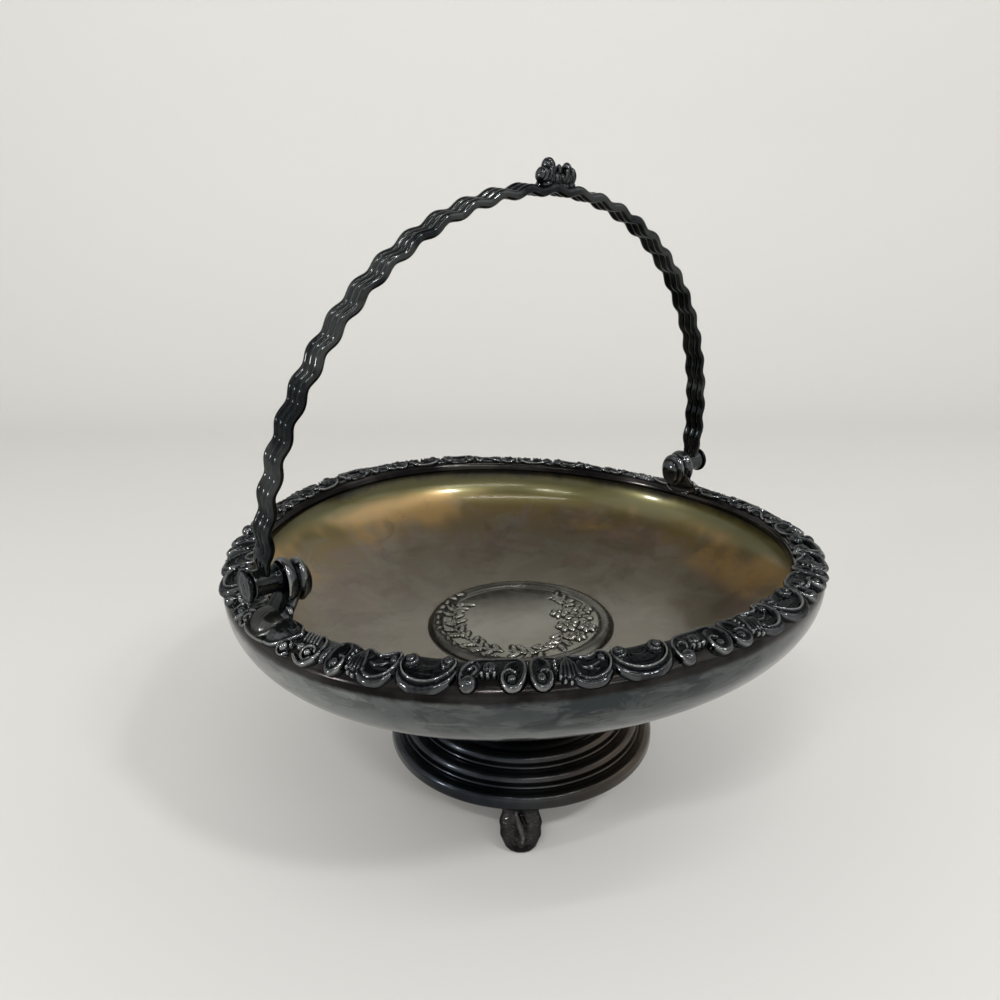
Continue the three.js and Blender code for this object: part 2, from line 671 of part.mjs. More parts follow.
// A shell foot at the +X side: a middle tongue and two side lobes in front, nearly flat behind.
function shellFoot() {
  const middle = PEDESTAL_RADIUS - PEDESTAL_EDGE_WIDTH / 2;
  const points = 18;
  return loft(footSections().map(({ z, half, depth, out }) => Array.from({ length: points }, (_, i) => {
    const angle = (i / points) * 2 * Math.PI;
    const front = Math.cos(angle) > 0;
    const lobe = front && z > 0 ? FOOT_LOBE * Math.cos(6 * angle) : 0;
    const x = middle + out + ((depth / 2) * (front ? 1 : 0.7) + lobe) * Math.cos(angle);
    return new THREE.Vector3(x, half * Math.sin(angle), z);
  })));
}

// Assembly

const FINISHES = {
  bowl: { color: 0x5c5a55, roughness: 0.28, metalness: 0.9 },
  border: { color: 0x2e3033, roughness: 0.34, metalness: 0.9 },
  hinge: { color: 0x2a2c2f, roughness: 0.36, metalness: 0.9 },
  bail: { color: 0x26282b, roughness: 0.33, metalness: 0.9 },
  medallion: { color: 0x57534b, roughness: 0.32, metalness: 0.9 },
  base: { color: 0x211f1e, roughness: 0.25, metalness: 0.9 },
};

const basket = new THREE.Group();

function add(parent, name, geometry, finish) {
  const mesh = new THREE.Mesh(geometry, new THREE.MeshStandardMaterial(FINISHES[finish]));
  mesh.name = name;
  parent.add(mesh);
  return mesh;
}

function addBorder() {
  const lugHalf = (LUG_FOOT_WIDTH / 2 / CREST_RADIUS) * (180 / Math.PI);
  const gap = (SOLDER_GAP / CREST_RADIUS) * (180 / Math.PI);
  const scrollAngle = (180 - 2 * lugHalf - LEAF_LENGTH_ANGLE) / SCROLLS_PER_SIDE;
  const stretch = scrollAngle / MOTIFS_ANGLE;
  const motifs = SCROLL_MOTIFS.map((motif) => {
    return { ...motif, at: motif.at * stretch, half: motif.half * stretch };
  });
  [0, 180].forEach((side, half) => {
    const start = side + lugHalf + gap;
    add(basket, `rim_leaf_${half + 1}`, borderLength(LEAF_MOTIFS, start, LEAF_LENGTH_ANGLE - gap), 'border');
    for (let i = 0; i < SCROLLS_PER_SIDE; i += 1) {
      const from = start + LEAF_LENGTH_ANGLE + i * scrollAngle;
      const last = i === SCROLLS_PER_SIDE - 1;
      const length = scrollAngle - (last ? 2 : 1) * gap;
      const name = `rim_scroll_${half * SCROLLS_PER_SIDE + i + 1}`;
      add(basket, name, borderLength(motifs, from, length), 'border');
    }
  });
}

function addHinges() {
  [0, 1].forEach((half) => {
    const lug = add(basket, `hinge_lug_${half + 1}`, hingeLug(), 'hinge');
    const pin = add(basket, `hinge_pin_${half + 1}`, hingePin(), 'hinge');
    lug.rotation.z = half * Math.PI;
    pin.rotation.z = half * Math.PI;
  });
}

function addBail() {
  const bail = new THREE.Group();
  bail.position.z = PIVOT_HEIGHT;
  bail.rotation.x = rad(BAIL_LEAN);
  [0, 1].forEach((half) => {
    const knuckle = add(bail, `bail_knuckle_${half + 1}`, bailKnuckle(), 'bail');
    knuckle.rotation.z = half * Math.PI;
  });
  for (let i = 0; i < STRAND_COUNT; i += 1) add(bail, `bail_strand_${i + 1}`, bailStrand(i), 'bail');
  add(bail, 'bail_finial', bailFinial(), 'bail');
  basket.add(bail);
}

function addFeet() {
  for (let i = 0; i < FOOT_COUNT; i += 1) {
    const foot = add(basket, `foot_${i + 1}`, shellFoot(), 'base');
    foot.rotation.z = rad(FOOT_ANGLE + (i * 360) / FOOT_COUNT);
  }
}

add(basket, 'bowl', bowl(), 'bowl');
addBorder();
addHinges();
addBail();
add(basket, 'centre_medallion', centreMedallion(), 'medallion');
add(basket, 'pedestal', pedestal(), 'base');
addFeet();

export default basket;
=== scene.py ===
import math

import bpy
import bmesh
import numpy as np
from mathutils import Matrix, Vector


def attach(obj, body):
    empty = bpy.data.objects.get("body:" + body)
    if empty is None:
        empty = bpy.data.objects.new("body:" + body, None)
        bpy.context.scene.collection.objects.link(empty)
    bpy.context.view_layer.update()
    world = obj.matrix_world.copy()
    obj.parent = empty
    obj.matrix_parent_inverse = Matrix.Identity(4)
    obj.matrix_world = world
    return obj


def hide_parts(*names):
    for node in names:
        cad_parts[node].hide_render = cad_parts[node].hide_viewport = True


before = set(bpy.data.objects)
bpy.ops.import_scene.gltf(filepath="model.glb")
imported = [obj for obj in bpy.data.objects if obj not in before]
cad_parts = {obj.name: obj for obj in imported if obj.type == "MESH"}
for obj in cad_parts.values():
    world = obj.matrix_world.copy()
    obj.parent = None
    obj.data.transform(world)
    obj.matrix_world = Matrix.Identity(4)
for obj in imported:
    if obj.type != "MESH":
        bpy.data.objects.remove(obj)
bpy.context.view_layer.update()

# Lengths are in millimetres, where no comment says metres. Every mesh is scaled to metres as it is made.
MM = 0.001

# Bowl and rim, the same sizes as the frame's
BOWL_RADIUS = 127.0
WIDEST_HEIGHT = 112.3
BOTTOM_HEIGHT = 73.1
FLAT_RADIUS = 44.0
BOWL_SHEET = 1.2
SHOULDER_WIDTH = 10.5
SHOULDER_RISE = 6.4
LIP_WIDTH = 3.2
LIP_DROP = 4.8
RIM_SWAY = 4.2
CREST_RADIUS = BOWL_RADIUS - SHOULDER_WIDTH
CREST_HEIGHT = WIDEST_HEIGHT + SHOULDER_RISE
INNER_PLACE = 128.0  # degrees on the rim's section where the border starts, past the crest
OUTER_PLACE = 14.0  # and where its longest drops end, near the widest line
LIP_ROUNDING = 0.35
SOLDER_GAP = 0.3
CAST_BACK = -0.45  # the back of a casting on the rim lies this far inside the sheet's outer face
LUG_HALF_WIDTH = 9.0

# Border lengths round the rim, in degrees
LUG_HALF = math.degrees(LUG_HALF_WIDTH / CREST_RADIUS)
JOINT = math.degrees(SOLDER_GAP / CREST_RADIUS)
LEAF_LENGTH = 13.7
SCROLLS_PER_SIDE = 5
SCROLL_LENGTH = (180 - 2 * LUG_HALF - LEAF_LENGTH) / SCROLLS_PER_SIDE
MM_PER_DEGREE = math.radians(1) * CREST_RADIUS

# Hinge
LOW_CREST = CREST_HEIGHT - RIM_SWAY * (CREST_RADIUS / BOWL_RADIUS) ** 3  # where the hinges stand
PIVOT_RISE = 14.3
PIVOT_HEIGHT = LOW_CREST + PIVOT_RISE
EAR_INSET = 5.3
EAR_MIDDLE = CREST_RADIUS - EAR_INSET
EAR_STRETCH = 1.14
EAR_DROP = 2.0
EAR_TO_BARREL = 2.6
BARREL_LENGTH = 10.8
BARREL_RADIUS = 5.3
BORE_RADIUS = 2.2
KNUCKLE_START = EAR_MIDDLE + EAR_TO_BARREL
KNUCKLE_END = KNUCKLE_START + BARREL_LENGTH
SHANK_RADIUS = 1.8
PIN_HEAD_RADIUS = 6.2
HEAD_GAP = 0.4

# Bail
LEG_START = 1.0
LEG_RISE = 4.2
ARCH_RISE = 127.3
BAIL_LEAN = 7.0
BAIL_HALF = (KNUCKLE_START + KNUCKLE_END) / 2
STRAND_SPACING = 3.45
STRAND_RADIUS = 1.75  # the rods touch along their soldered sides
CRIMPS = 31
CRIMP_HEIGHT = 0.75
FINIAL_OFFSET = 3.0

# Pedestal and feet
PEDESTAL_RADIUS = 61.7
PEDESTAL_SHEET = 1.2
EDGE_HEIGHT = 19.6
EDGE_TURN_IN = 8.5
SKIRT_RISE = 4.6
STEP_RISE = 5.0
STEP_RUN = 6.3
FOOT_INSET = 4.25
FOOT_ANGLE = 228.6

# Degrees round the basket at which the bowl's side is palest, and at which the pedestal is browner with a
# painted sheen
PALE_SIDE = 170
BROWN_SHEEN_SIDE = 320

# Camera: where it stands and how it is turned
CAMERA_PLACE = Vector((-217.7, -247.1, 241.7)) * MM
CAMERA_TURN = math.radians(50.20)
CAMERA_PITCH = math.radians(18.14)
CAMERA_ROLL = math.radians(-0.49)
CAMERA_LENS = 28.37

# Lamps, in metres and watts: two large soft ones, with their power
SOFT_LAMPS = {"soft_right": ((1.1, -1.0, 1.5), 5.0), "soft_left": ((-1.3, 0.5, 1.5), 4.0)}
SOFT_SIZE = 1.3
# Two bare bulbs that leave the small bright spots inside the bowl
BULBS = {"bulb_right": (0.097, -0.998, 1.20), "bulb_left": (-1.40, 0.38, 0.42)}
BULB_SIZE = 0.13
BULB_POWER = 5.5
# Three tubes, with their length: in front, overhead and to the left
TUBES = {"tube_front": ((-0.45, -1.45, 1.25), 1.2), "tube_top": ((-0.3, -0.6, 1.85), 1.1),
         "tube_left": ((-0.865, -0.606, 1.20), 0.3)}
TUBE_WIDTH = 0.04
TUBE_POWER = 3.6


# Shader maths

class Field:
    """A socket whose value varies over a surface, so that its sums read as sums."""

    def __init__(self, tree, socket):
        self.tree = tree
        self.socket = socket

    def _sum(self, operation, first, second):
        node = self.tree.nodes.new("ShaderNodeMath")
        node.operation = operation
        for slot, value in zip(node.inputs, (first, second)):
            if isinstance(value, Field):
                self.tree.links.new(value.socket, slot)
            else:
                slot.default_value = value
        return Field(self.tree, node.outputs[0])

    def __add__(self, other):
        return self._sum("ADD", self, other)

    def __radd__(self, other):
        return self._sum("ADD", other, self)

    def __sub__(self, other):
        return self._sum("SUBTRACT", self, other)

    def __rsub__(self, other):
        return self._sum("SUBTRACT", other, self)

    def __mul__(self, other):
        return self._sum("MULTIPLY", self, other)

    def __rmul__(self, other):
        return self._sum("MULTIPLY", other, self)


class Nodes:
    """A tree of nodes."""

    def __init__(self, tree):
        self.tree = tree

    def set(self, node, sockets):
        for name, value in sockets.items():
            slot = node.inputs[name]
            if isinstance(value, Field):
                self.tree.links.new(value.socket, slot)
            elif hasattr(slot.default_value, "__len__") and len(slot.default_value) == 4:
                slot.default_value = (*value, 1.0)
            else:
                slot.default_value = value

    def node(self, kind, settings=None, sockets=None, output=0):
        """A node of any other kind: its settings first, then its sockets."""
        node = self.tree.nodes.new(kind)
        for name, value in (settings or {}).items():
            if name == "stops":
                self._stops(node.color_ramp, value)
            else:
                setattr(node, name, value)
        self.set(node, sockets or {})
        return Field(self.tree, node.outputs[output])

    def _stops(self, ramp, stops):
        while len(ramp.elements) < len(stops):
            ramp.elements.new(0.5)
        for element, (place, colour) in zip(ramp.elements, stops):
            element.position = place
            element.color = (*colour, 1.0)

    def ramp(self, value, stops):
        return self.node("ShaderNodeValToRGB", {"stops": stops}, {"Fac": value})


class Finish(Nodes):
    """A material and its nodes."""

    def __init__(self, name):
        self.material = bpy.data.materials.new(name)
        self.material.use_nodes = True
        super().__init__(self.material.node_tree)
        self.shader = self.tree.nodes["Principled BSDF"]

    def place(self):
        """A point's own place on the piece, in metres."""
        return self.node("ShaderNodeTexCoord", output=3)

    def noise(self, scale, detail=3.0, roughness=0.55, stretch=None, distortion=0.0):
        vector = self.place()
        if stretch:
            vector = self.node("ShaderNodeVectorMath", {"operation": "MULTIPLY"},
                               {0: vector, 1: stretch})
        # right: 1 on the side that gets the brown tarnish and the painted sheen
        sockets = {"Vector": vector, "Scale": scale, "Detail": detail, "Roughness": roughness,
                   "Distortion": distortion}
        return self.node("ShaderNodeTexNoise", sockets=sockets)

    def spread(self, value, low, high):
        """0 below low, 1 above high, and a smooth step between."""
        return self.node("ShaderNodeMapRange", {"interpolation_type": "SMOOTHSTEP"},
                         {"Value": value, "From Min": low, "From Max": high})

    def carried(self, name):
        """A number that the mesh carries at each of its points."""
        return self.node("ShaderNodeAttribute", {"attribute_name": name}, output=2)

    def mixed(self, share, first, second):
        return self.node("ShaderNodeMix", {"data_type": "RGBA"}, {0: share, 6: first, 7: second},
                         output=2)

    def bump(self, height, strength, distance):
        sockets = {"Height": height, "Strength": strength, "Distance": distance}
        return self.node("ShaderNodeBump", sockets=sockets)

    def shade(self, **sockets):
        self.set(self.shader, {name.replace("_", " "): value for name, value in sockets.items()})
        return self.material


# Finishes: silver plate under years of tarnish

BLACK_TARNISH = (0.004, 0.005, 0.006)
GREY_TARNISH = (0.064, 0.067, 0.069)
RUBBED_SILVER = (0.36, 0.365, 0.36)
DULL_EDGE = (0.45, 0.46, 0.47)


def cast_finish(name, dark, grey, rubbed, roughness):
    """Cast and oxidised plate: black in the hollows, rubbed paler on what stands out."""
    m = Finish(name)
    relief = m.carried("relief")
    cloud = m.noise(60, 4, 0.6)
    grain = m.noise(1500, 3, 0.6)
    lifted = m.spread(relief + (cloud - 0.5) * 0.25, 0.46, 0.68)
    worn = m.spread(relief + (cloud - 0.5) * 0.4 + (grain - 0.5) * 0.2, 0.72, 0.96)
    colour = m.mixed(lifted, dark, grey)
    colour = m.mixed(worn * 0.5, colour, rubbed)
    height = m.noise(2600, 4, 0.65) * 0.5 + m.noise(500, 3, 0.5)
    rough = (m.noise(240, 3) - 0.5) * 0.12 + roughness
    return m.shade(Base_Color=colour, Metallic=0.92, Roughness=rough, Specular_Tint=DULL_EDGE,
                   Coat_Weight=0.15, Coat_Roughness=0.05, Normal=m.bump(height, 0.2, 0.00008))


def rod_finish():
    """Crimped rods: smooth drawn plate, black to charcoal in soft patches."""
    m = Finish("crimped rod silver")
    cloud = m.noise(45, 4, 0.6)
    patch = m.spread(cloud, 0.42, 0.60)
    colour = m.mixed(patch, (0.006, 0.008, 0.009), (0.044, 0.048, 0.047))
    fine = m.noise(900, 3, 0.6)
    rough = 0.14 + (m.noise(200, 3) - 0.5) * 0.10
    return m.shade(Base_Color=colour, Metallic=0.9, Roughness=rough, Specular_Tint=DULL_EDGE,
                   Coat_Weight=0.15, Coat_Roughness=0.06, Normal=m.bump(fine, 0.2, 0.00008))


def bowl_outside_finish():
    """Outside of the bowl: brown-black shoulder over a grey-green side with hanging dark streaks, and
    painted shade low down next to the pedestal.
    """
    m = Finish("bowl outside silver")
    level = m.carried("level")
    cloud = m.noise(26, 4, 0.6)
    fine = m.noise(160, 4, 0.6)
    streak = m.noise(44, 6, 0.68, stretch=(1.0, 1.0, 2.2), distortion=0.9)
    side = m.ramp(cloud * 0.7 + fine * 0.3, [(0.32, (0.085, 0.098, 0.100)), (0.5, (0.130, 0.145, 0.146)),
                                             (0.68, (0.185, 0.198, 0.194))])
    dark_streak = m.spread(streak + level * 0.10, 0.56, 0.66)
    side = m.mixed(dark_streak * 0.75, side, (0.035, 0.041, 0.044))
    stroke = m.spread(m.noise(60, 6, 0.68, stretch=(1.0, 1.0, 4.5), distortion=0.8), 0.52, 0.60)
    side = m.mixed(stroke * 0.5, side, (0.25, 0.26, 0.25))
    upper = m.spread(level + (cloud - 0.5) * 0.5 + (streak - 0.5) * 0.4, 0.42, 0.86)
    pale = m.spread(m.carried("left") + (cloud - 0.5) * 0.2, 0.76, 0.98)
    side = m.mixed((1 - pale) * (0.18 + upper * 0.42), side, (0.022, 0.027, 0.029))
    side = m.mixed(pale * 0.30, side, (0.27, 0.28, 0.27))
    shoulder = m.mixed(m.spread(cloud, 0.4, 0.65), (0.006, 0.005, 0.005), (0.032, 0.029, 0.027))
    edge = m.spread(level + (fine - 0.5) * 0.05, 0.955, 1.0)
    colour = m.mixed(edge, side, shoulder)
    # Darker towards the bottom, next to the pedestal: painted shade under the bowl.
    under = m.spread(level, 0.42, 0.05)
    colour = m.mixed(under * 0.7, colour, (0.030, 0.030, 0.029))
    rough = 0.10 + fine * 0.12 + dark_streak * 0.04
    height = m.noise(700, 4, 0.6) * 0.5 + m.noise(60, 2, 0.5)
    return m.shade(Base_Color=colour, Metallic=0.92, Roughness=rough,
                   Normal=m.bump(height, 0.14, 0.00012))


def bowl_inside_finish():
    """Inside of the bowl: polished brown-grey floor that turns gold and olive up the wall, and near black
    in painted shade inside the shoulder and lip.
    """
    m = Finish("bowl inside silver")
    reach = m.carried("reach")
    cloud = m.noise(14, 5, 0.6)
    patch = m.noise(33, 5, 0.65, distortion=0.8)
    fine = m.noise(220, 4, 0.6)
    wander = reach + (cloud - 0.5) * 0.10 + (patch - 0.5) * 0.05
    # The last stop is near black: painted shade where the wall goes in under the shoulder and lip.
    colour = m.ramp(wander, [(0.30, (0.146, 0.130, 0.098)), (0.60, (0.142, 0.122, 0.084)),
                             (0.72, (0.164, 0.126, 0.073)), (0.80, (0.166, 0.120, 0.046)),
                             (0.86, (0.110, 0.086, 0.020)), (0.90, (0.108, 0.099, 0.031)),
                             (0.940, (0.100, 0.088, 0.022)), (0.968, (0.005, 0.004, 0.002))])
    mauve = m.spread(patch, 0.46, 0.58) * m.spread(reach, 0.30, 0.62) * m.spread(reach, 0.88, 0.78)
    colour = m.mixed(mauve * 0.5, colour, (0.170, 0.122, 0.106))
    amber = m.spread(m.noise(19, 3, 0.5), 0.43, 0.61) * m.spread(reach, 0.66, 0.78)
    amber = amber * m.spread(reach, 0.92, 0.86)
    colour = m.mixed(amber * 0.72, colour, (0.44, 0.27, 0.095))
    greyed = m.spread(m.noise(46, 6, 0.68, distortion=0.7), 0.47, 0.63) * m.spread(reach, 0.90, 0.80)
    colour = m.mixed(greyed * 0.36, colour, (0.190, 0.185, 0.150))
    browned = m.spread(m.noise(35, 6, 0.68, distortion=0.8), 0.49, 0.63) * m.spread(reach, 0.90, 0.80)
    colour = m.mixed(browned * 0.38, colour, (0.074, 0.058, 0.040))
    rough = 0.25 + fine * 0.12 + m.spread(patch, 0.5, 0.7) * 0.05
    height = m.noise(900, 3, 0.6) * 0.4 + m.noise(40, 2, 0.5)
    return m.shade(Base_Color=colour, Metallic=0.6, Roughness=rough, Coat_Weight=0.5,
                   Coat_Roughness=0.12, Normal=m.bump(height, 0.08, 0.0001))


def medallion_finish():
    """Medallion: pale grey plate, black in the hollows and rubbed on the flowers."""
    m = Finish("medallion silver")
    relief = m.carried("relief")
    cloud = m.noise(30, 4, 0.6)
    grain = m.noise(1200, 3, 0.6)
    plain = m.mixed(m.spread(cloud, 0.4, 0.62), (0.185, 0.176, 0.148), (0.235, 0.232, 0.200))
    hollow = m.spread(relief + (cloud - 0.5) * 0.16, 0.48, 0.28)
    colour = m.mixed(hollow, plain, (0.022, 0.021, 0.019))
    worn = m.spread(relief + (grain - 0.5) * 0.15, 0.60, 0.85)
    colour = m.mixed(worn * 0.45, colour, (0.26, 0.255, 0.235))
    rough = 0.18 + (m.noise(260, 3) - 0.5) * 0.14 + hollow * 0.15
    return m.shade(Base_Color=colour, Metallic=0.92, Roughness=rough, Normal=m.bump(grain, 0.25, 0.0001))


def base_finish():
    """Pedestal: glossy blue-black, browner and paler on its right side, partly brown tarnish and partly a
    painted sheen.
    """
    m = Finish("pedestal silver")
    cloud = m.noise(22, 4, 0.6)
    fine = m.noise(200, 4, 0.6)
    # Browner and paler towards the right side: partly brown tarnish, partly a painted sheen.
    brown_and_sheen = m.spread(m.carried("right") + (cloud - 0.5) * 0.5, 0.40, 0.95)
    colour = m.mixed(m.spread(cloud, 0.40, 0.68), (0.010, 0.013, 0.018), (0.048, 0.055, 0.062))
    colour = m.mixed(brown_and_sheen, colour, (0.060, 0.047, 0.035))
    spun = m.noise(900, 2, 0.5, stretch=(0.04, 0.04, 1.0))
    rough = 0.18 + fine * 0.12
    return m.shade(Base_Color=colour, Metallic=0.92, Roughness=rough, Coat_Weight=0.15,
                   Coat_Roughness=0.05, Normal=m.bump(spun + fine * 0.5, 0.12, 0.00008))


def floor_finish():
    m = Finish("pale table")
    cloud = m.noise(1.2, 2, 0.5)
    colour = m.mixed(cloud, (0.680, 0.668, 0.640), (0.705, 0.693, 0.666))
    return m.shade(Base_Color=colour, Roughness=0.55, Specular_IOR_Level=0.2)


# Mesh helpers

def piece(name, points, faces, finishes, face_finish=None, carried=None):
    """A smooth-shaded object from points in millimetres. carried has a number per point for a finish."""
    mesh = bpy.data.meshes.new(name)
    mesh.from_pydata((np.asarray(points) * MM).tolist(), [], [list(map(int, face)) for face in faces])
    for finish in finishes:
        mesh.materials.append(finish)
    mesh.polygons.foreach_set("use_smooth", [True] * len(mesh.polygons))
    if face_finish is not None:
        mesh.polygons.foreach_set("material_index", [int(i) for i in face_finish])
    for key, values in (carried or {}).items():
        layer = mesh.attributes.new(key, "FLOAT", "POINT")
        layer.data.foreach_set("value", np.asarray(values, float).ravel())
    turn_outward(mesh)
    thing = bpy.data.objects.new(name, mesh)
    bpy.context.scene.collection.objects.link(thing)
    return thing


def turn_outward(mesh):
    shape = bmesh.new()
    shape.from_mesh(mesh)
    bmesh.ops.recalc_face_normals(shape, faces=shape.faces)
    shape.to_mesh(mesh)
    shape.free()
    mesh.update()


def grid_faces(rows, cols, first=0, wrap_cols=False, wrap_rows=False):
    index = first + np.arange(rows * cols).reshape(rows, cols)
    if wrap_cols:
        index = np.hstack([index, index[:, :1]])
    if wrap_rows:
        index = np.vstack([index, index[:1]])
    corners = (index[:-1, :-1], index[1:, :-1], index[1:, 1:], index[:-1, 1:])
    return np.stack(corners, -1).reshape(-1, 4).tolist()


def lathe(profile, segments):
    """Points and faces of a profile turned round Z, closed on itself or on the axis.

    Each place of the profile is (radius, height).
    """
    profile = np.asarray(profile, float)
    on_axis = profile[0, 0] < 1e-6
    ring = profile[1:-1] if on_axis else profile
    angle = np.linspace(0, 2 * np.pi, segments, endpoint=False)
    x = ring[:, :1] * np.cos(angle)
    y = ring[:, :1] * np.sin(angle)
    z = np.repeat(ring[:, 1:], segments, axis=1)
    points = np.stack([x, y, z], -1).reshape(-1, 3)
    faces = grid_faces(len(ring), segments, wrap_cols=True, wrap_rows=not on_axis)
    if on_axis:
        first, last = len(points), len(points) + 1
        points = np.vstack([points, [[0, 0, profile[0, 1]], [0, 0, profile[-1, 1]]]])
        below = (len(ring) - 1) * segments
        for i in range(segments):
            j = (i + 1) % segments
            faces.append([first, j, i])
            faces.append([last, below + i, below + j])
    return points, faces


def loft(rings):
    """Points and faces of a row of closed rings, with a flat cap on each end."""
    rings = np.asarray(rings, float)
    count, size = rings.shape[:2]
    faces = grid_faces(count, size, wrap_cols=True)
    faces.append(list(range(size)))
    faces.append(list(range((count - 1) * size, count * size)))
    return rings.reshape(-1, 3), faces


def tube(path, radii, sides):
    """Rings round a path; the two ends are capped."""
    path = np.asarray(path, float)
    run = np.gradient(path, axis=0)
    run /= np.linalg.norm(run, axis=1)[:, None]
    side = np.cross(run[0], (0.0, 1.0, 0.0))
    if np.linalg.norm(side) < 0.1:
        side = np.cross(run[0], (0.0, 0.0, 1.0))
    rings = []
    angle = np.linspace(0, 2 * np.pi, sides, endpoint=False)
    for place, way, radius in zip(path, run, np.broadcast_to(radii, len(path))):
        side = side - way * np.dot(side, way)
        side /= np.linalg.norm(side)
        up = np.cross(way, side)
        rings.append(place + radius * (np.outer(np.cos(angle), side) + np.outer(np.sin(angle), up)))
    return loft(rings)


def ball(centre, radii, turn=0.0):
    """An egg with three radii, turned about Y by some degrees."""
    theta = np.linspace(0, np.pi, 18)
    profile = np.stack([np.sin(theta), -np.cos(theta)], -1)
    points, faces = lathe(profile, 28)
    points = points * radii
    c, s = math.cos(math.radians(turn)), math.sin(math.radians(turn))
    points = points @ np.array([[c, 0, -s], [0, 1, 0], [s, 0, c]])
    return points + centre, faces


def gathered(shapes):
    """Several shapes' points and faces as one."""
    points, faces, first = [], [], 0
    for some, their in shapes:
        points.append(some)
        faces += [[i + first for i in face] for face in their]
        first += len(some)
    return np.vstack(points), faces


def cast_together(name, shapes, finish, voxel, passes=4):
    """Overlapping closed shapes melted into one cast form."""
    points, faces = gathered(shapes)
    rough = piece(name + "_rough", points, faces, [finish])
    remesh = rough.modifiers.new("melt", "REMESH")
    remesh.mode = "VOXEL"
    remesh.voxel_size = voxel * MM
    soften = rough.modifiers.new("soften", "SMOOTH")
    soften.factor = 0.5
    soften.iterations = passes
    melted = bpy.data.meshes.new_from_object(rough.evaluated_get(bpy.context.evaluated_depsgraph_get()))
    points = np.zeros(len(melted.vertices) * 3)
    melted.vertices.foreach_get("co", points)
    points = points.reshape(-1, 3) / MM
    faces = [list(face.vertices) for face in melted.polygons]
    bpy.data.objects.remove(rough)
    bpy.data.meshes.remove(melted)
    return points, faces


def standing_out(points, faces, reach, spread=0.35):
    """For each point, how far it stands out of its surroundings: near 0 in hollows, 1 on ridges."""
    edges = set()
    for face in faces:
        for a, b in zip(face, face[1:] + face[:1]):
            edges.add((a, b) if a < b else (b, a))
    edges = np.array(sorted(edges))
    around = points.copy()
    degree = np.bincount(edges.ravel(), minlength=len(points))[:, None]
    for _ in range(reach):
        total = np.zeros_like(around)
        np.add.at(total, edges[:, 0], around[edges[:, 1]])
        np.add.at(total, edges[:, 1], around[edges[:, 0]])
        around = total / degree
    normal = point_normals(points, faces)
    return np.clip(0.5 + np.sum((points - around) * normal, axis=1) / spread, 0, 1)


def point_normals(points, faces):
    normal = np.zeros_like(points)
    for face in faces:
        a, b, c = points[face[0]], points[face[1]], points[face[2]]
        normal[face] += np.cross(b - a, c - a)
    length = np.linalg.norm(normal, axis=1)[:, None]
    return normal / np.maximum(length, 1e-9)


def curve_through(points, count):
    """A smooth path through a few given points."""
    points = np.asarray(points, float)
    before = np.vstack([2 * points[:1] - points[1:2], points, 2 * points[-1:] - points[-2:-1]])
    share = np.linspace(0, len(points) - 1, count)
    i = np.minimum(share.astype(int), len(points) - 2)
    t = (share - i)[:, None]
    a, b, c, d = before[i], before[i + 1], before[i + 2], before[i + 3]
    return 0.5 * (2 * b + (c - a) * t + (2 * a - 5 * b + 4 * c - d) * t ** 2
                  + (3 * b - a - 3 * c + d) * t ** 3)


def finished(thing, node, body):
    """Puts a made piece in the place of its frame node."""
    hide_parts(node)
    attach(thing, body)


# Rim

def sway(x, y):
    """The rim's lift, below zero where it dips. It fades towards the bowl's middle."""
    return -RIM_SWAY * np.cos(2 * np.arctan2(y, x)) * (np.hypot(x, y) / BOWL_RADIUS) ** 3


def shoulder(place):
    """Radius and height on the rim's section, place in degrees from the widest line over the crest."""
    angle = np.radians(place)
    outer = np.asarray(place) <= 90
    radius = CREST_RADIUS + np.where(outer, SHOULDER_WIDTH, LIP_WIDTH) * np.cos(angle)
    level = np.where(outer, WIDEST_HEIGHT + SHOULDER_RISE * np.sin(angle),
                     CREST_HEIGHT - LIP_DROP + LIP_DROP * np.sin(angle))
    return radius, level


def over_shoulder(place, height, around):
    """A point over the shoulder: place on the section, height over the sheet, degrees round the rim."""
    radius, level = shoulder(place)
    before_radius, before_level = shoulder(place - 1)
    after_radius, after_level = shoulder(place + 1)
    run_radius, run_level = after_radius - before_radius, after_level - before_level
    length = np.hypot(run_radius, run_level)
    r = radius + run_level / length * height
    z = level - run_radius / length * height
    x, y = r * np.cos(np.radians(around)), r * np.sin(np.radians(around))
    return np.stack([x, y, z + sway(x, y)], -1)


# Distances along the section, from the border's inner edge outward
PLACES = np.linspace(150, 4, 400)
SECTION_STEPS = np.hypot(*[np.diff(part) for part in shoulder(PLACES)])
ARC = np.concatenate([[0], np.cumsum(SECTION_STEPS)])
ARC -= np.interp(-INNER_PLACE, -PLACES, ARC)
BORDER_WIDTH = float(np.interp(-OUTER_PLACE, -PLACES, ARC))


def place_at(w):
    """The section's place in degrees at a distance w out from the border's inner edge."""
    return np.interp(w, ARC, PLACES)


# Relief

HIDDEN = -0.14  # height where nothing stands up: just under the sheet's outer face
FADE = 0.4  # how far in from a casting's edges its relief comes up
STATION_STEP = 0.27


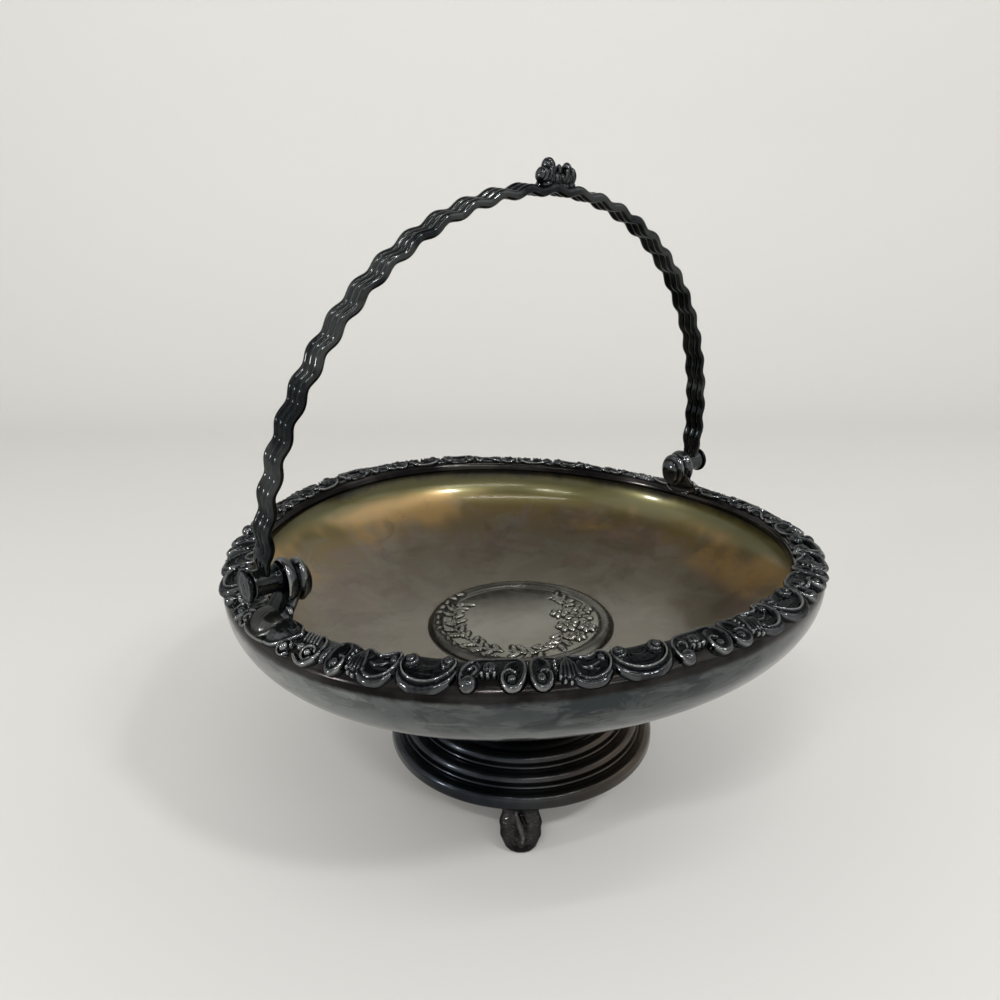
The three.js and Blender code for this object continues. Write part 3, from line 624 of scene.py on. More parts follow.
class Relief:
    """Heights over a flat plan: s along the piece, to the right seen from outside, and w across it."""

    def __init__(self, s, w):
        self.s = s
        self.w = w
        self.h = np.full(s.shape, HIDDEN)

    def nearest(self, path):
        """Distance to a path and how far along it the nearest place is."""
        best = np.full(self.s.shape, 1e9)
        along = np.zeros(self.s.shape)
        for i, (a, b) in enumerate(zip(path[:-1], path[1:])):
            run = b - a
            t = ((self.s - a[0]) * run[0] + (self.w - a[1]) * run[1]) / max(run @ run, 1e-9)
            t = np.clip(t, 0, 1)
            d = np.hypot(self.s - a[0] - t * run[0], self.w - a[1] - t * run[1])
            closer = d < best
            best[closer] = d[closer]
            along[closer] = (i + t[closer]) / (len(path) - 1)
        return best, along

    def roll(self, points, radii, tops, steps=44):
        """A rounded ridge along a smooth path, its radius and height given along the way."""
        d, along = self.nearest(curve_through(points, steps))
        radius = np.interp(along, np.linspace(0, 1, len(radii)), radii)
        top = np.interp(along, np.linspace(0, 1, len(tops)), tops)
        inside = np.clip(1 - (d / radius) ** 2, 0, 1)
        self.h = np.maximum(self.h, np.where(inside > 0, top * np.sqrt(inside), HIDDEN))

    def dome(self, s, w, half_s, half_w, top, turn=0.0, power=0.5):
        """An oval that rises to its top in the middle."""
        q = self._share(s, w, half_s, half_w, turn)
        inside = np.clip(1 - q ** 2, 0, 1)
        self.h = np.maximum(self.h, np.where(inside > 0, top * inside ** power, HIDDEN))

    def dish(self, s, w, half_s, half_w, low, high):
        """An oval floor, low in the middle and high at its edge."""
        q = self._share(s, w, half_s, half_w)
        self.h = np.where(q < 1, np.maximum(self.h, low + (high - low) * q ** 2), self.h)

    def hollow(self, s, w, half_s, half_w, depth):
        """An oval pressed into what stands up."""
        floor = 0.3
        q = self._share(s, w, half_s, half_w)
        fall = np.clip(1 - q ** 2, 0, 1) * depth
        self.h = np.where(self.h > floor, np.maximum(self.h - fall, floor), self.h)

    def _share(self, s, w, half_s, half_w, turn=0.0):
        """How far out in an oval each place is: 0 at its middle and 1 at its edge."""
        c, n = math.cos(math.radians(turn)), math.sin(math.radians(turn))
        ds, dw = self.s - s, self.w - w
        return np.hypot((ds * c + dw * n) / half_s, (dw * c - ds * n) / half_w)

    def score(self, points, width, depth, steps=30):
        """A thin line pressed in, or raised where depth is below zero. It only marks what stands up."""
        floor = 0.25
        d, _ = self.nearest(curve_through(points, steps))
        mark = depth * np.exp(-((d / width) ** 2))
        self.h = np.where(self.h > floor, self.h - mark, self.h)

    def backing(self, inner, outer, top):
        """A low plain web between two edges, on which the motifs stand."""
        soft = 0.5

        def step(x):
            x = np.clip(x / soft, 0, 1)
            return x * x * (3 - 2 * x)

        lift = step(self.w - inner) * step(outer - self.w)
        self.h = np.maximum(self.h, HIDDEN + (top - HIDDEN) * lift)

    def softened(self, passes):
        """The heights, evened out with their neighbours' some times over."""
        h = self.h
        for _ in range(passes):
            padded = np.pad(h, 1, mode="edge")
            h = (padded[:-2, 1:-1] + padded[2:, 1:-1] + padded[1:-1, :-2] + padded[1:-1, 2:] + 4 * h) / 8
        return h

    def relief(self, passes=14, spread=1.1):
        """For each place, near 0 in hollows and 1 on ridges."""
        return np.clip(0.5 + (self.h - self.softened(passes)) / spread, 0, 1)


def volute(r, s):
    """A tall snail scroll with a bulb at its foot; s is its middle."""
    r.dish(s, 6.6, 3.0, 5.4, 0.7, 1.5)
    r.roll([(s + 4.8, 1.7), (s + 2.6, 0.9), (s, 0.9), (s - 2.2, 2.5), (s - 3.0, 5.4), (s - 2.8, 8.6),
            (s - 1.5, 11.3), (s + 0.6, 12.2), (s + 2.4, 11.0), (s + 2.8, 8.8), (s + 2.0, 7.1),
            (s + 0.4, 6.9)],
           [0.5, 0.65, 0.7, 0.75, 0.8, 1.0, 1.3, 1.3, 0.9, 0.7, 0.6],
           [1.4, 1.7, 1.9, 1.9, 1.9, 2.2, 2.7, 2.7, 2.3, 2.0, 1.8])
    r.dome(s, 9.9, 2.0, 2.2, 2.7)
    r.hollow(s + 0.2, 4.2, 1.9, 2.2, 0.5)


def hanging_leaf(r, s):
    """A small ribbed leaf that hangs outward, with beads at its side and tip."""
    r.dome(s, 6.6, 3.0, 5.0, 1.6)
    for k in (-2, -1, 0, 1, 2):
        r.roll([(s + 0.2 * k, 2.4), (s + 0.9 * k, 6.0), (s + 1.25 * k, 10.3 - 0.45 * abs(k))],
               [0.45, 0.62, 0.75], [1.6, 2.3 - 0.12 * abs(k), 2.1 - 0.15 * abs(k)])
    for ds, w in ((-2.5, 9.9), (-1.3, 11.2), (0.4, 11.7), (1.9, 11.0), (2.8, 9.6)):
        r.dome(s + ds, w, 0.85, 0.85, 2.2)
    for w in (3.6, 5.2, 6.8):
        r.dome(s - 3.6, w, 0.7, 0.7, 2.0)


def long_scroll(r, s):
    """An oval trough that lies along the rim and curls up at its right end; s is its left end."""
    r.dish(s + 6.4, 6.8, 5.8, 5.0, 0.4, 1.3)
    r.roll([(s - 1.0, 9.4), (s + 1.2, 11.4), (s + 4.4, 12.4), (s + 7.8, 12.0), (s + 10.4, 9.8)],
           [1.0, 1.5, 1.7, 1.5, 0.9], [1.5, 2.0, 2.2, 2.1, 1.6])
    r.roll([(s - 2.6, 1.2), (s, 1.7), (s + 2.8, 2.9), (s + 5.2, 3.3), (s + 7.0, 2.4), (s + 8.6, 1.0),
            (s + 10.4, 1.6), (s + 11.3, 4.0), (s + 11.0, 7.2), (s + 9.2, 9.9), (s + 6.0, 11.2),
            (s + 2.8, 10.9), (s + 0.6, 9.2)],
           [0.5, 0.6, 0.65, 0.65, 0.6, 0.6, 0.65, 0.7, 0.7, 0.7, 0.7, 0.65, 0.5],
           [1.4, 1.8, 2.0, 2.1, 2.2, 2.2, 2.2, 2.3, 2.4, 2.5, 2.5, 2.3, 1.6])
    r.dome(s + 9.0, 3.9, 1.5, 1.9, 2.0, turn=-20)
    r.roll([(s + 1.2, 6.2), (s + 4.6, 7.2), (s + 8.0, 5.6)], [0.4, 0.55, 0.4], [1.0, 1.5, 1.4])


def open_shell(r, s):
    """A wide trough with a thick hanging rim and a round lobe at each end; s is its middle."""
    r.dish(s, 6.0, 8.2, 6.2, 0.35, 1.5)
    r.roll([(s - 8.8, 7.2), (s - 6.8, 10.4), (s - 3.6, 12.2), (s, 12.8), (s + 3.6, 12.2),
            (s + 6.8, 10.4), (s + 8.8, 7.2)],
           [1.0, 1.6, 1.9, 2.0, 1.9, 1.6, 1.0], [1.6, 2.1, 2.4, 2.5, 2.4, 2.1, 1.6])
    r.roll([(s - 8.0, 2.2), (s - 8.5, 5.0), (s - 7.0, 8.2), (s - 4.0, 10.2), (s, 10.9),
            (s + 4.0, 10.2), (s + 7.0, 8.2), (s + 8.5, 5.0), (s + 8.0, 2.2)],
           [0.55, 0.55, 0.6, 0.6, 0.6, 0.6, 0.6, 0.55, 0.55],
           [2.4, 2.4, 2.7, 3.0, 3.1, 3.0, 2.7, 2.4, 2.4])
    turn = np.linspace(0.2, 5.2, 14)
    curl = 2.1 - 0.26 * turn
    for k in (-1, 1):
        r.dome(s + k * 5.9, 3.5, 2.7, 2.9, 3.1)
        line = np.stack([s + k * (5.9 + curl * np.cos(turn)), 3.5 + curl * np.sin(turn)], -1)
        r.score(line, 0.24, 0.6, 40)


def bracket(r, s):
    """A thin arch on the inner edge, a bulb at its left foot, a snail at its right, a leaf between."""
    r.dome(s - 7.3, 10.6, 2.75, 2.75, 3.2)
    r.dish(s - 7.0, 6.0, 2.6, 4.2, 0.7, 1.4)
    r.dish(s + 5.4, 7.2, 3.0, 5.0, 0.7, 1.4)
    r.roll([(s - 9.2, 11.0), (s - 9.9, 8.2), (s - 9.4, 5.0), (s - 7.2, 2.3), (s - 3.4, 1.0),
            (s + 0.6, 0.7), (s + 4.4, 0.9), (s + 7.4, 2.3), (s + 8.8, 5.2), (s + 8.5, 8.8),
            (s + 6.9, 11.6), (s + 4.4, 12.0), (s + 2.6, 10.3), (s + 2.5, 7.6), (s + 4.2, 6.2),
            (s + 5.9, 7.2)],
           [0.7, 0.6, 0.6, 0.6, 0.6, 0.6, 0.65, 0.7, 0.8, 1.0, 1.3, 1.3, 0.9, 0.7, 0.6, 0.5],
           [2.4, 1.9, 1.8, 1.8, 1.8, 1.8, 1.9, 2.0, 2.1, 2.4, 2.8, 2.8, 2.4, 2.1, 1.9, 1.7], steps=90)
    r.dome(s + 5.0, 9.6, 1.9, 1.8, 2.5)
    r.roll([(s - 6.4, 8.4), (s - 5.4, 6.2), (s - 6.6, 4.6), (s - 8.0, 5.8)], [0.5, 0.55, 0.55, 0.45],
           [2.2, 1.9, 1.7, 1.5])
    r.dome(s - 1.8, 4.9, 2.5, 2.9, 2.5)
    for k in (-2, -1, 0, 1, 2):
        r.score([(s - 1.8 + 0.35 * k, 2.4), (s - 1.8 + 0.95 * k, 4.8), (s - 1.8 + 1.05 * k, 7.0)],
                0.2, 0.35)
    for ds in (-3.7, -1.9, 0.0):
        r.dome(s + ds, 7.7 + 0.3 * (ds == -1.9), 0.85, 0.8, 2.5)


def scroll_relief(s, w):
    """One cast scroll length of the border."""
    r = Relief(s, w)
    open_middle = 33.7
    inner = 0.9 + 3.4 * np.exp(-(((s - open_middle) / 2.9) ** 4))
    outer = 8.6 - 1.4 * np.exp(-(((s - 52.0) / 3.0) ** 2))
    r.backing(inner, outer, 0.75)
    volute(r, 3.5)
    hanging_leaf(r, 11.3)
    long_scroll(r, 12.9)
    open_shell(r, open_middle)
    bracket(r, 54.2)
    return cast_surface(r)


def leaf_relief(s, w):
    """The short length beside a hinge: the tip of the lug's leaf, ringed beads, small leaves, a curl."""
    r = Relief(s, w)
    r.backing(1.0, 9.0 - 0.05 * s, 0.75)
    r.dome(-0.4, 5.9, 10.8, 5.9, 2.7, power=0.6)
    r.roll([(-1.0, 11.8), (3.0, 11.6), (6.6, 10.0), (9.4, 7.4), (11.6, 4.2)], [0.6, 0.6, 0.6, 0.55, 0.4],
           [2.0, 2.0, 2.0, 2.0, 2.0])
    r.roll([(-1.0, 0.9), (4.0, 0.9), (8.4, 1.9), (11.6, 4.2)],
           [0.5, 0.55, 0.55, 0.4], [1.6, 1.8, 1.9, 2.0])
    for k in range(5):
        r.roll([(6.4 + 1.1 * k, 2.2 + 0.25 * k), (7.6 + 1.1 * k, 4.6)], [0.35, 0.3], [1.8, 1.5])
    r.dome(9.4, 10.2, 1.7, 1.7, 2.7)
    ring(r, 9.4, 10.2, 2.5, 0.45, 1.7)
    for k in range(5):
        r.roll([(13.0 + 1.5 * k, 2.0), (14.4 + 1.5 * k, 5.4)], [0.5, 0.4], [1.9, 1.6])
    r.dome(15.6, 8.0, 1.5, 1.5, 2.1)
    r.dome(20.0, 9.2, 1.3, 1.3, 2.6)
    ring(r, 20.0, 9.0, 2.3, 0.55, 2.0)
    r.roll([(14.6, 11.0), (17.6, 12.4), (20.8, 12.3), (23.4, 10.4), (24.0, 7.0), (22.8, 3.4),
            (19.6, 1.3)],
           [0.6, 0.9, 1.1, 1.0, 0.7, 0.6, 0.5], [1.6, 2.0, 2.2, 2.1, 1.9, 1.8, 1.6])
    r.dome(26.0, 7.4, 1.6, 3.4, 1.8)
    return cast_surface(r)


def ring(r, s, w, radius, thickness, top):
    """A round ridge that isn't quite closed."""
    angle = np.linspace(0.6, 5.9, 12)
    path = np.stack([s + radius * np.cos(angle), w + radius * np.sin(angle)], -1)
    r.roll(path, [thickness] * 3, [top] * 3)


def cast_surface(r):
    """Gives what stands up a casting's slight unevenness, and softens it a little."""
    up = r.h > 0
    r.h = np.where(up, r.h + 0.035 * np.sin(2.3 * r.s + 1.1 * r.w) * np.sin(1.7 * r.w - 0.9 * r.s), r.h)
    r.h = r.softened(1)
    return r


def draped(relief_of, stations, places, start, back_places, paler):
    """A relief laid over the shoulder, with a plain back inside the sheet: points, faces, relief."""
    s, w = np.meshgrid(stations, places, indexing="ij")
    r = relief_of(s, w)
    inner, outer = places[0], places[-1]
    fade = np.clip(np.minimum(w - inner, outer - w) / FADE, 0, 1)
    height = HIDDEN + (r.h - HIDDEN) * fade
    around = start + s / MM_PER_DEGREE
    top = over_shoulder(place_at(w), height, around)
    back_w = np.linspace(outer, inner, back_places)
    back = over_shoulder(place_at(back_w)[None, :], CAST_BACK, around[:, :1])
    back = np.broadcast_to(back, (len(stations), back_places, 3))
    points, faces = loft(np.concatenate([top, back], axis=1))
    shown = np.clip(r.relief() + paler, 0, 1)
    relief = np.concatenate([shown, np.full((len(stations), back_places), 0.5)], axis=1)
    return points, faces, relief.ravel()


def border_piece(name, relief_of, start, length, finish, paler=0.0):
    """A cast length of border. Its start and length are in degrees round the rim."""
    run = length * MM_PER_DEGREE
    stations = np.linspace(0, run, int(run / STATION_STEP))
    places = np.linspace(0, BORDER_WIDTH, 54)
    points, faces, relief = draped(relief_of, stations, places, start, 9, paler)
    return piece(name, points, faces, [finish], carried={"relief": relief})


def add_border(finish):
    for half in (0, 1):
        start = 180 * half + LUG_HALF + JOINT
        leaf = border_piece(f"leaf_length_{half + 1}", leaf_relief, start, LEAF_LENGTH - JOINT, finish,
                            paler=0.10)
        finished(leaf, f"rim_leaf_{half + 1}", "basket")
        for i in range(SCROLLS_PER_SIDE):
            number = half * SCROLLS_PER_SIDE + i + 1
            last = i == SCROLLS_PER_SIDE - 1
            length = SCROLL_LENGTH - (2 if last else 1) * JOINT
            scroll = border_piece(f"scroll_length_{number}", scroll_relief,
                                  start + LEAF_LENGTH + i * SCROLL_LENGTH, length, finish)
            finished(scroll, f"rim_scroll_{number}", "basket")


# Bowl

def bezier(a, b, c, d, count):
    t = np.linspace(0, 1, count)[:, None]
    a, b, c, d = map(np.array, (a, b, c, d))
    return (1 - t) ** 3 * a + 3 * (1 - t) ** 2 * t * b + 3 * (1 - t) * t ** 2 * c + t ** 3 * d


def offset_outline(outline, distance):
    run = np.gradient(outline, axis=0)
    run /= np.linalg.norm(run, axis=1)[:, None]
    return outline + distance * np.stack([-run[:, 1], run[:, 0]], -1)


def bowl_sections():
    """Outside of the sheet from the flat's edge to the lip, and its inside back again."""
    depth = WIDEST_HEIGHT - BOTTOM_HEIGHT
    wall = bezier((FLAT_RADIUS, BOTTOM_HEIGHT),
                  (FLAT_RADIUS + (BOWL_RADIUS - FLAT_RADIUS) * 0.73, BOTTOM_HEIGHT + 3.4),
                  (BOWL_RADIUS, WIDEST_HEIGHT - depth * 0.52), (BOWL_RADIUS, WIDEST_HEIGHT), 60)
    rim = np.stack(shoulder(np.linspace(3, 180, 50)), -1)
    outside = np.vstack([wall, rim])
    inside = offset_outline(outside, BOWL_SHEET)[::-1]
    return outside, inside


def up_the_wall(profile):
    """How far out and up the sheet each place is, 0 at the middle and 1 at the widest line."""
    run = np.hypot(*np.diff(np.asarray(profile), axis=0).T)
    length = np.concatenate([[0], np.cumsum(run)]) + profile[0][0]
    top = length[int(np.argmax(profile[:, 1]))]
    from_middle = np.minimum(length, length[-1] + profile[-1][0] - length)
    widest = length[int(np.argmax(profile[:, 0]))]
    return np.where(length < top, length / widest, from_middle / widest)


def facing(points, degrees):
    """1 where a turned piece faces some way round, 0 on its other side."""
    return 0.5 + 0.5 * np.cos(np.arctan2(points[:, 1], points[:, 0]) - math.radians(degrees))


def add_bowl(outside_finish, inside_finish):
    outside, inside = bowl_sections()
    flat = np.linspace(2, FLAT_RADIUS - 2, 14)
    bottom = np.stack([flat, np.full_like(flat, BOTTOM_HEIGHT)], -1)
    floor = np.stack([flat[::-1], np.full_like(flat, BOTTOM_HEIGHT + BOWL_SHEET)], -1)
    lip = [(outside[-1] + inside[0]) / 2 + (0.0, -LIP_ROUNDING)]
    profile = np.vstack([[[0, BOTTOM_HEIGHT]], bottom, outside, lip, inside, floor,
                         [[0, BOTTOM_HEIGHT + BOWL_SHEET]]])
    segments = 224
    points, faces = lathe(profile, segments)
    level = (points[:, 2] - BOTTOM_HEIGHT) / (WIDEST_HEIGHT - BOTTOM_HEIGHT)
    reach = np.tile(up_the_wall(profile[1:-1]).reshape(-1, 1), segments).ravel()
    reach = np.concatenate([reach, [0, 0]])
    points[:, 2] += sway(points[:, 0], points[:, 1])
    outer_rows = len(bottom) + len(outside)
    rows = len(profile) - 2
    face_finish = [0 if i // segments < outer_rows else 1 for i in range((rows - 1) * segments)]
    face_finish += [0, 1] * segments
    bowl = piece("bowl_shell", points, faces, [outside_finish, inside_finish], face_finish,
                 {"level": level, "reach": reach, "left": facing(points, PALE_SIDE)})
    finished(bowl, "bowl", "basket")


# Hinges

def lug_relief(s, w):
    """The leaf draped over the rim under the ear: a low dome, a raised edge, a curl and faint ribs."""
    r = Relief(s, w)
    r.dish(0.0, 5.4, 9.4, 7.6, 1.1, 1.5)
    r.dome(0.4, 4.4, 8.8, 7.6, 4.1, power=0.65)
    r.roll([(9.6, 11.9), (4.0, 12.4), (-2.0, 12.2), (-6.4, 10.4), (-8.4, 7.0), (-8.2, 3.0),
            (-5.4, -0.6)],
           [0.6, 0.65, 0.65, 0.65, 0.6, 0.6, 0.5], [2.0, 2.1, 2.2, 2.2, 2.1, 2.0, 1.9])
    ring(r, -6.8, 9.4, 2.9, 0.5, 2.5)
    ring(r, -6.8, 9.4, 1.3, 0.5, 2.4)
    r.roll([(9.4, 0.4), (5.0, -1.6), (0, -2.2), (-5.0, -1.6)],
           [0.5, 0.6, 0.6, 0.5], [1.7, 1.9, 1.9, 1.8])
    for k in (-3, -2, -1, 0, 1, 2, 3):
        r.score([(0.9 * k, 1.0), (1.6 * k, 5.0), (2.2 * k, 9.6)], 0.3, 0.05)
    return cast_surface(r)


def lug_plate(around):
    """The lug's leaf, which reaches a little further in over the lip than the border does."""
    inner_edge = -3.4
    stations = np.linspace(-LUG_HALF_WIDTH, LUG_HALF_WIDTH, 70)
    places = np.linspace(inner_edge, BORDER_WIDTH, 64)
    return draped(lug_relief, stations, places, around, 11, paler=0.16)


def level_ring(x, z, half_x, half_y):
    """An oval ring of points at one height."""
    angle = np.linspace(0, 2 * np.pi, 32, endpoint=False)
    return np.stack([x + half_x * np.cos(angle), half_y * np.sin(angle), np.full_like(angle, z)], -1)


def ear_shapes():
    """Neck, round ear dished towards the barrel, stepped boss behind it, a curl each side of the neck."""
    lift = 1.2
    foot = LOW_CREST + lift
    rise = PIVOT_HEIGHT - foot
    neck = loft([level_ring(CREST_RADIUS - 1, foot - lift, 4.0, 8.6),
                 level_ring(CREST_RADIUS - 1.8, foot + rise * 0.1, 3.8, 8.2),
                 level_ring(CREST_RADIUS - 3.4, foot + rise * 0.26, 3.8, 7.8),
                 level_ring(CREST_RADIUS - 5.0, foot + rise * 0.45, 3.6, 7.2),
                 level_ring(EAR_MIDDLE - 1.6, foot + rise * 0.68, 3.2, 6.4),
                 level_ring(EAR_MIDDLE - 1.8, foot + rise * 0.9, 2.8, 4.6)])
    cup = [(0, -3.0), (3.4, -3.0), (5.6, -2.5), (7.0, -1.2), (7.7, 0.2), (7.9, 1.2), (7.7, 2.0),
           (7.1, 2.3), (6.6, 1.8), (6.0, 0.2), (4.6, -1.1), (2.4, -1.6), (0, -1.7)]
    dish, faces = lathe(cup, 64)
    ear = (dish[:, [2, 1, 0]] * (1, 1, -EAR_STRETCH) + (EAR_MIDDLE, 0, PIVOT_HEIGHT - EAR_DROP), faces)
    shapes = [neck, ear, ball((EAR_MIDDLE - 4.4, 0.2, PIVOT_HEIGHT - 2.4), (3.2, 6.9, 8.2)),
              ball((EAR_MIDDLE - 6.4, 0.4, PIVOT_HEIGHT - 3.2), (2.4, 5.0, 6.2))]
    for side in (-1, 1):
        angle = np.linspace(0, 2.2 * np.pi, 30)
        small = 2.0 - 0.55 * angle / np.pi
        path = np.stack([np.full_like(angle, CREST_RADIUS - 2.2), side * (6.6 + small * np.cos(angle)),
                         foot + 2.0 + small * np.sin(angle)], -1)
        shapes.append(tube(path, np.linspace(0.9, 0.6, len(path)), 10))
    return shapes


def add_hinges(finish, leaf_finish, barrel_finish):
    ear_points, ear_faces = cast_together("ear", ear_shapes(), finish, 0.3)
    ear_relief = standing_out(ear_points, ear_faces, 10)
    for half in (0, 1):
        plate_points, plate_faces, plate_relief = lug_plate(180 * half)
        turned = ear_points * ((-1, -1, 1) if half else (1, 1, 1))
        points, faces = gathered([(plate_points, plate_faces), (turned, ear_faces)])
        relief = np.concatenate([plate_relief, ear_relief])
        face_finish = [1] * len(plate_faces) + [0] * len(ear_faces)
        lug = piece(f"hinge_ear_{half + 1}", points, faces, [finish, leaf_finish], face_finish,
                    {"relief": relief})
        finished(lug, f"hinge_lug_{half + 1}", "basket")
        add_rivet(half, finish)
        add_barrel(half, barrel_finish)


def along_hinge(profile, half):
    """A profile of (radius, distance out from the middle) turned round the hinge's axis."""
    points, faces = lathe(profile, 64)
    points = points[:, [2, 1, 0]] * (1, 1, -1)
    return points * ((-1, -1, 1) if half else (1, 1, 1)) + (0, 0, PIVOT_HEIGHT), faces


def add_rivet(half, finish):
    start = EAR_MIDDLE - 0.8
    head = KNUCKLE_END + HEAD_GAP
    shank = SHANK_RADIUS
    radius = PIN_HEAD_RADIUS
    profile = [(0, start), (shank - 0.2, start), (shank, start + 0.2), (shank, head - 0.2),
               (shank, head), (radius * 0.86, head), (radius * 0.96, head + 0.3),
               (radius, head + 0.9), (radius * 0.97, head + 1.5),
               (radius * 0.9, head + 1.78), (radius * 0.8, head + 1.7), (radius * 0.68, head + 1.25),
               (radius * 0.4, head + 0.95), (radius * 0.16, head + 1.1), (0, head + 1.2)]
    points, faces = along_hinge(smooth_profile(profile), half)
    relief = np.clip(standing_out(points, faces, 6) + 0.16, 0, 1)
    rivet = piece(f"rivet_{half + 1}", points, faces, [finish], carried={"relief": relief})
    finished(rivet, f"hinge_pin_{half + 1}", "basket")


def smooth_profile(profile):
    """Cuts each corner of a profile off, twice over, its ends kept."""
    profile = np.asarray(profile, float)
    for _ in range(2):
        cut = [profile[0]]
        for a, b in zip(profile[:-1], profile[1:]):
            cut += [a * 0.8 + b * 0.2, a * 0.2 + b * 0.8]
        cut[1:2] = []
        cut[-1] = profile[-1]
        profile = np.array(cut)
    return profile


def add_barrel(half, finish):
    a, b, r = KNUCKLE_START, KNUCKLE_END, BARREL_RADIUS
    outer = [(r - 0.5, a), (r, a + 0.4), (r, a + 1.2), (r - 0.45, a + 1.9), (r - 0.5, a + 2.6),
             (r - 0.5, b - 2.6), (r - 0.45, b - 1.9), (r, b - 1.2), (r, b - 0.4), (r - 0.5, b)]
    profile = [(BORE_RADIUS, a), *outer, (BORE_RADIUS, b)]
    points, faces = along_hinge(profile, half)
    barrel = piece(f"bail_barrel_{half + 1}", points, faces, [finish])
    finished(barrel, f"bail_knuckle_{half + 1}", "bail")


# Bail

def bail_line(count):
    """Middle line of the bail in its own plane, evenly spaced: straight foot, half oval, foot."""
    angle = np.linspace(0, np.pi, 1200)
    oval = np.stack([BAIL_HALF * np.cos(angle), LEG_RISE + ARCH_RISE * np.sin(angle)], -1)
    whole = np.vstack([[[BAIL_HALF, LEG_START]], oval, [[-BAIL_HALF, LEG_START]]])
    length = np.concatenate([[0], np.cumsum(np.linalg.norm(np.diff(whole, axis=0), axis=1))])
    even = np.linspace(0, length[-1], count)
    line = np.stack([np.interp(even, length, whole[:, i]) for i in (0, 1)], -1)
    run = np.gradient(line, axis=0)
    run /= np.linalg.norm(run, axis=1)[:, None]
    return line, run, even


def leaned(points):
    """From the bail's own upright plane to its place, leaning towards -Y."""
    angle = math.radians(BAIL_LEAN)
    y = points[:, 1] * math.cos(angle) - points[:, 2] * math.sin(angle)
    z = points[:, 1] * math.sin(angle) + points[:, 2] * math.cos(angle)
    return np.stack([points[:, 0], y, z + PIVOT_HEIGHT], -1)


def add_strand(number, finish):
    """One crimped rod: it waves in the bail's plane, in step with the others, and thins at its ends."""
    points_per_crimp = 14
    line, run, even = bail_line(CRIMPS * points_per_crimp + 1)
    from_end = np.minimum(even, even[-1] - even)
    settled = np.clip((from_end - 2.0) / 8.0, 0, 1) ** 0.7
    across = (number - 1) * STRAND_SPACING * (0.72 + 0.28 * settled)
    within = -CRIMP_HEIGHT * settled * np.cos(2 * np.pi * CRIMPS * even / even[-1])
    path = np.stack([line[:, 0] + run[:, 1] * within, across, line[:, 1] - run[:, 0] * within], -1)
    radius = STRAND_RADIUS * (0.5 + 0.5 * settled)
    keep = from_end > 1.4
    points, faces = tube(path[keep], radius[keep], 18)
    strand = piece(f"crimped_rod_{number + 1}", leaned(points), faces, [finish])
    finished(strand, f"bail_strand_{number + 1}", "bail")


def add_finial(finish):
    """Two opposed clusters of plump curled leaves on a leafy saddle that hugs the rods."""
    seat = LEG_RISE + ARCH_RISE + CRIMP_HEIGHT + STRAND_RADIUS - 2.2
    lobes = [((-4.1, 0.2, 7.3), (2.8, 2.8, 3.5), -6), ((-6.9, -0.4, 4.5), (3.0, 3.0, 3.2), 20),
             ((-4.4, 0.0, 3.6), (3.0, 3.1, 3.4)), ((-5.0, -2.5, 5.2), (1.4, 1.0, 2.9), 12),
             ((-0.6, 0.0, 3.4), (2.6, 2.6, 2.6)), ((1.3, 0.2, 6.2), (1.2, 1.6, 2.5), -6),
             ((4.9, -0.2, 6.2), (2.1, 2.3, 3.2), 4), ((7.9, 0.0, 4.6), (1.9, 2.3, 3.3), -8),
             ((4.4, 0.0, 3.4), (3.8, 3.2, 2.8)), ((3.4, -2.4, 4.8), (1.0, 0.9, 2.6), 6),
             ((6.4, -2.2, 4.6), (1.0, 0.9, 2.6), -8), ((0.2, 0.0, 0.9), (9.0, 3.5, 2.0)),
             ((-5.6, 0.0, 1.4), (3.0, 3.4, 2.2)), ((6.2, 0.0, 1.4), (3.0, 3.4, 2.2))]
    points, faces = cast_together("finial", [ball(*lobe) for lobe in lobes], finish, 0.22, 2)
    x, y, z = points.T
    leaf_line = np.abs(np.sin(1.9 * x + 0.7 * np.sin(0.7 * z) + 0.5 * y)) ** 6
    rise = np.clip(z / 3, 0, 1)
    points = points - point_normals(points, faces) * (0.26 * leaf_line * rise)[:, None]
    points = points + (FINIAL_OFFSET, 0, seat)
    relief = standing_out(points, faces, 8, 0.5)
    finial = piece("leaf_finial", leaned(points), faces, [finish], carried={"relief": relief})
    finished(finial, "bail_finial", "bail")


# Medallion

MEDALLION_RADIUS = 42.8
RING_WIDTH = 6.4


def polar(radius, degrees):
    """A place round the medallion's middle."""
    angle = math.radians(degrees)
    return radius * math.cos(angle), radius * math.sin(angle)


def flower(r, x, y, size):
    """Petals round a bead."""
    petals = 6
    for k in range(petals):
        angle = 2 * math.pi * k / petals + x
        r.dome(x + 0.62 * size * math.cos(angle), y + 0.62 * size * math.sin(angle), 0.46 * size,
               0.34 * size, 1.6, turn=math.degrees(angle))
    r.dome(x, y, 0.26 * size, 0.26 * size, 1.85)


def sprig(r, points, leaf):
    """A stem with leaves on alternate sides."""
    path = curve_through(points, 24)
    r.roll(points, [0.5, 0.4, 0.3], [0.9, 0.9, 0.7], steps=20)
    for k, (a, b) in enumerate(zip(path[2:-1:3], path[3::3])):
        run = math.degrees(math.atan2(*(b - a)[::-1]))
        side = 55 if k % 2 else -55
        angle = math.radians(run + side)
        r.dome(a[0] + leaf * math.cos(angle), a[1] + leaf * math.sin(angle), leaf, leaf * 0.38, 1.2,
               turn=run + side)


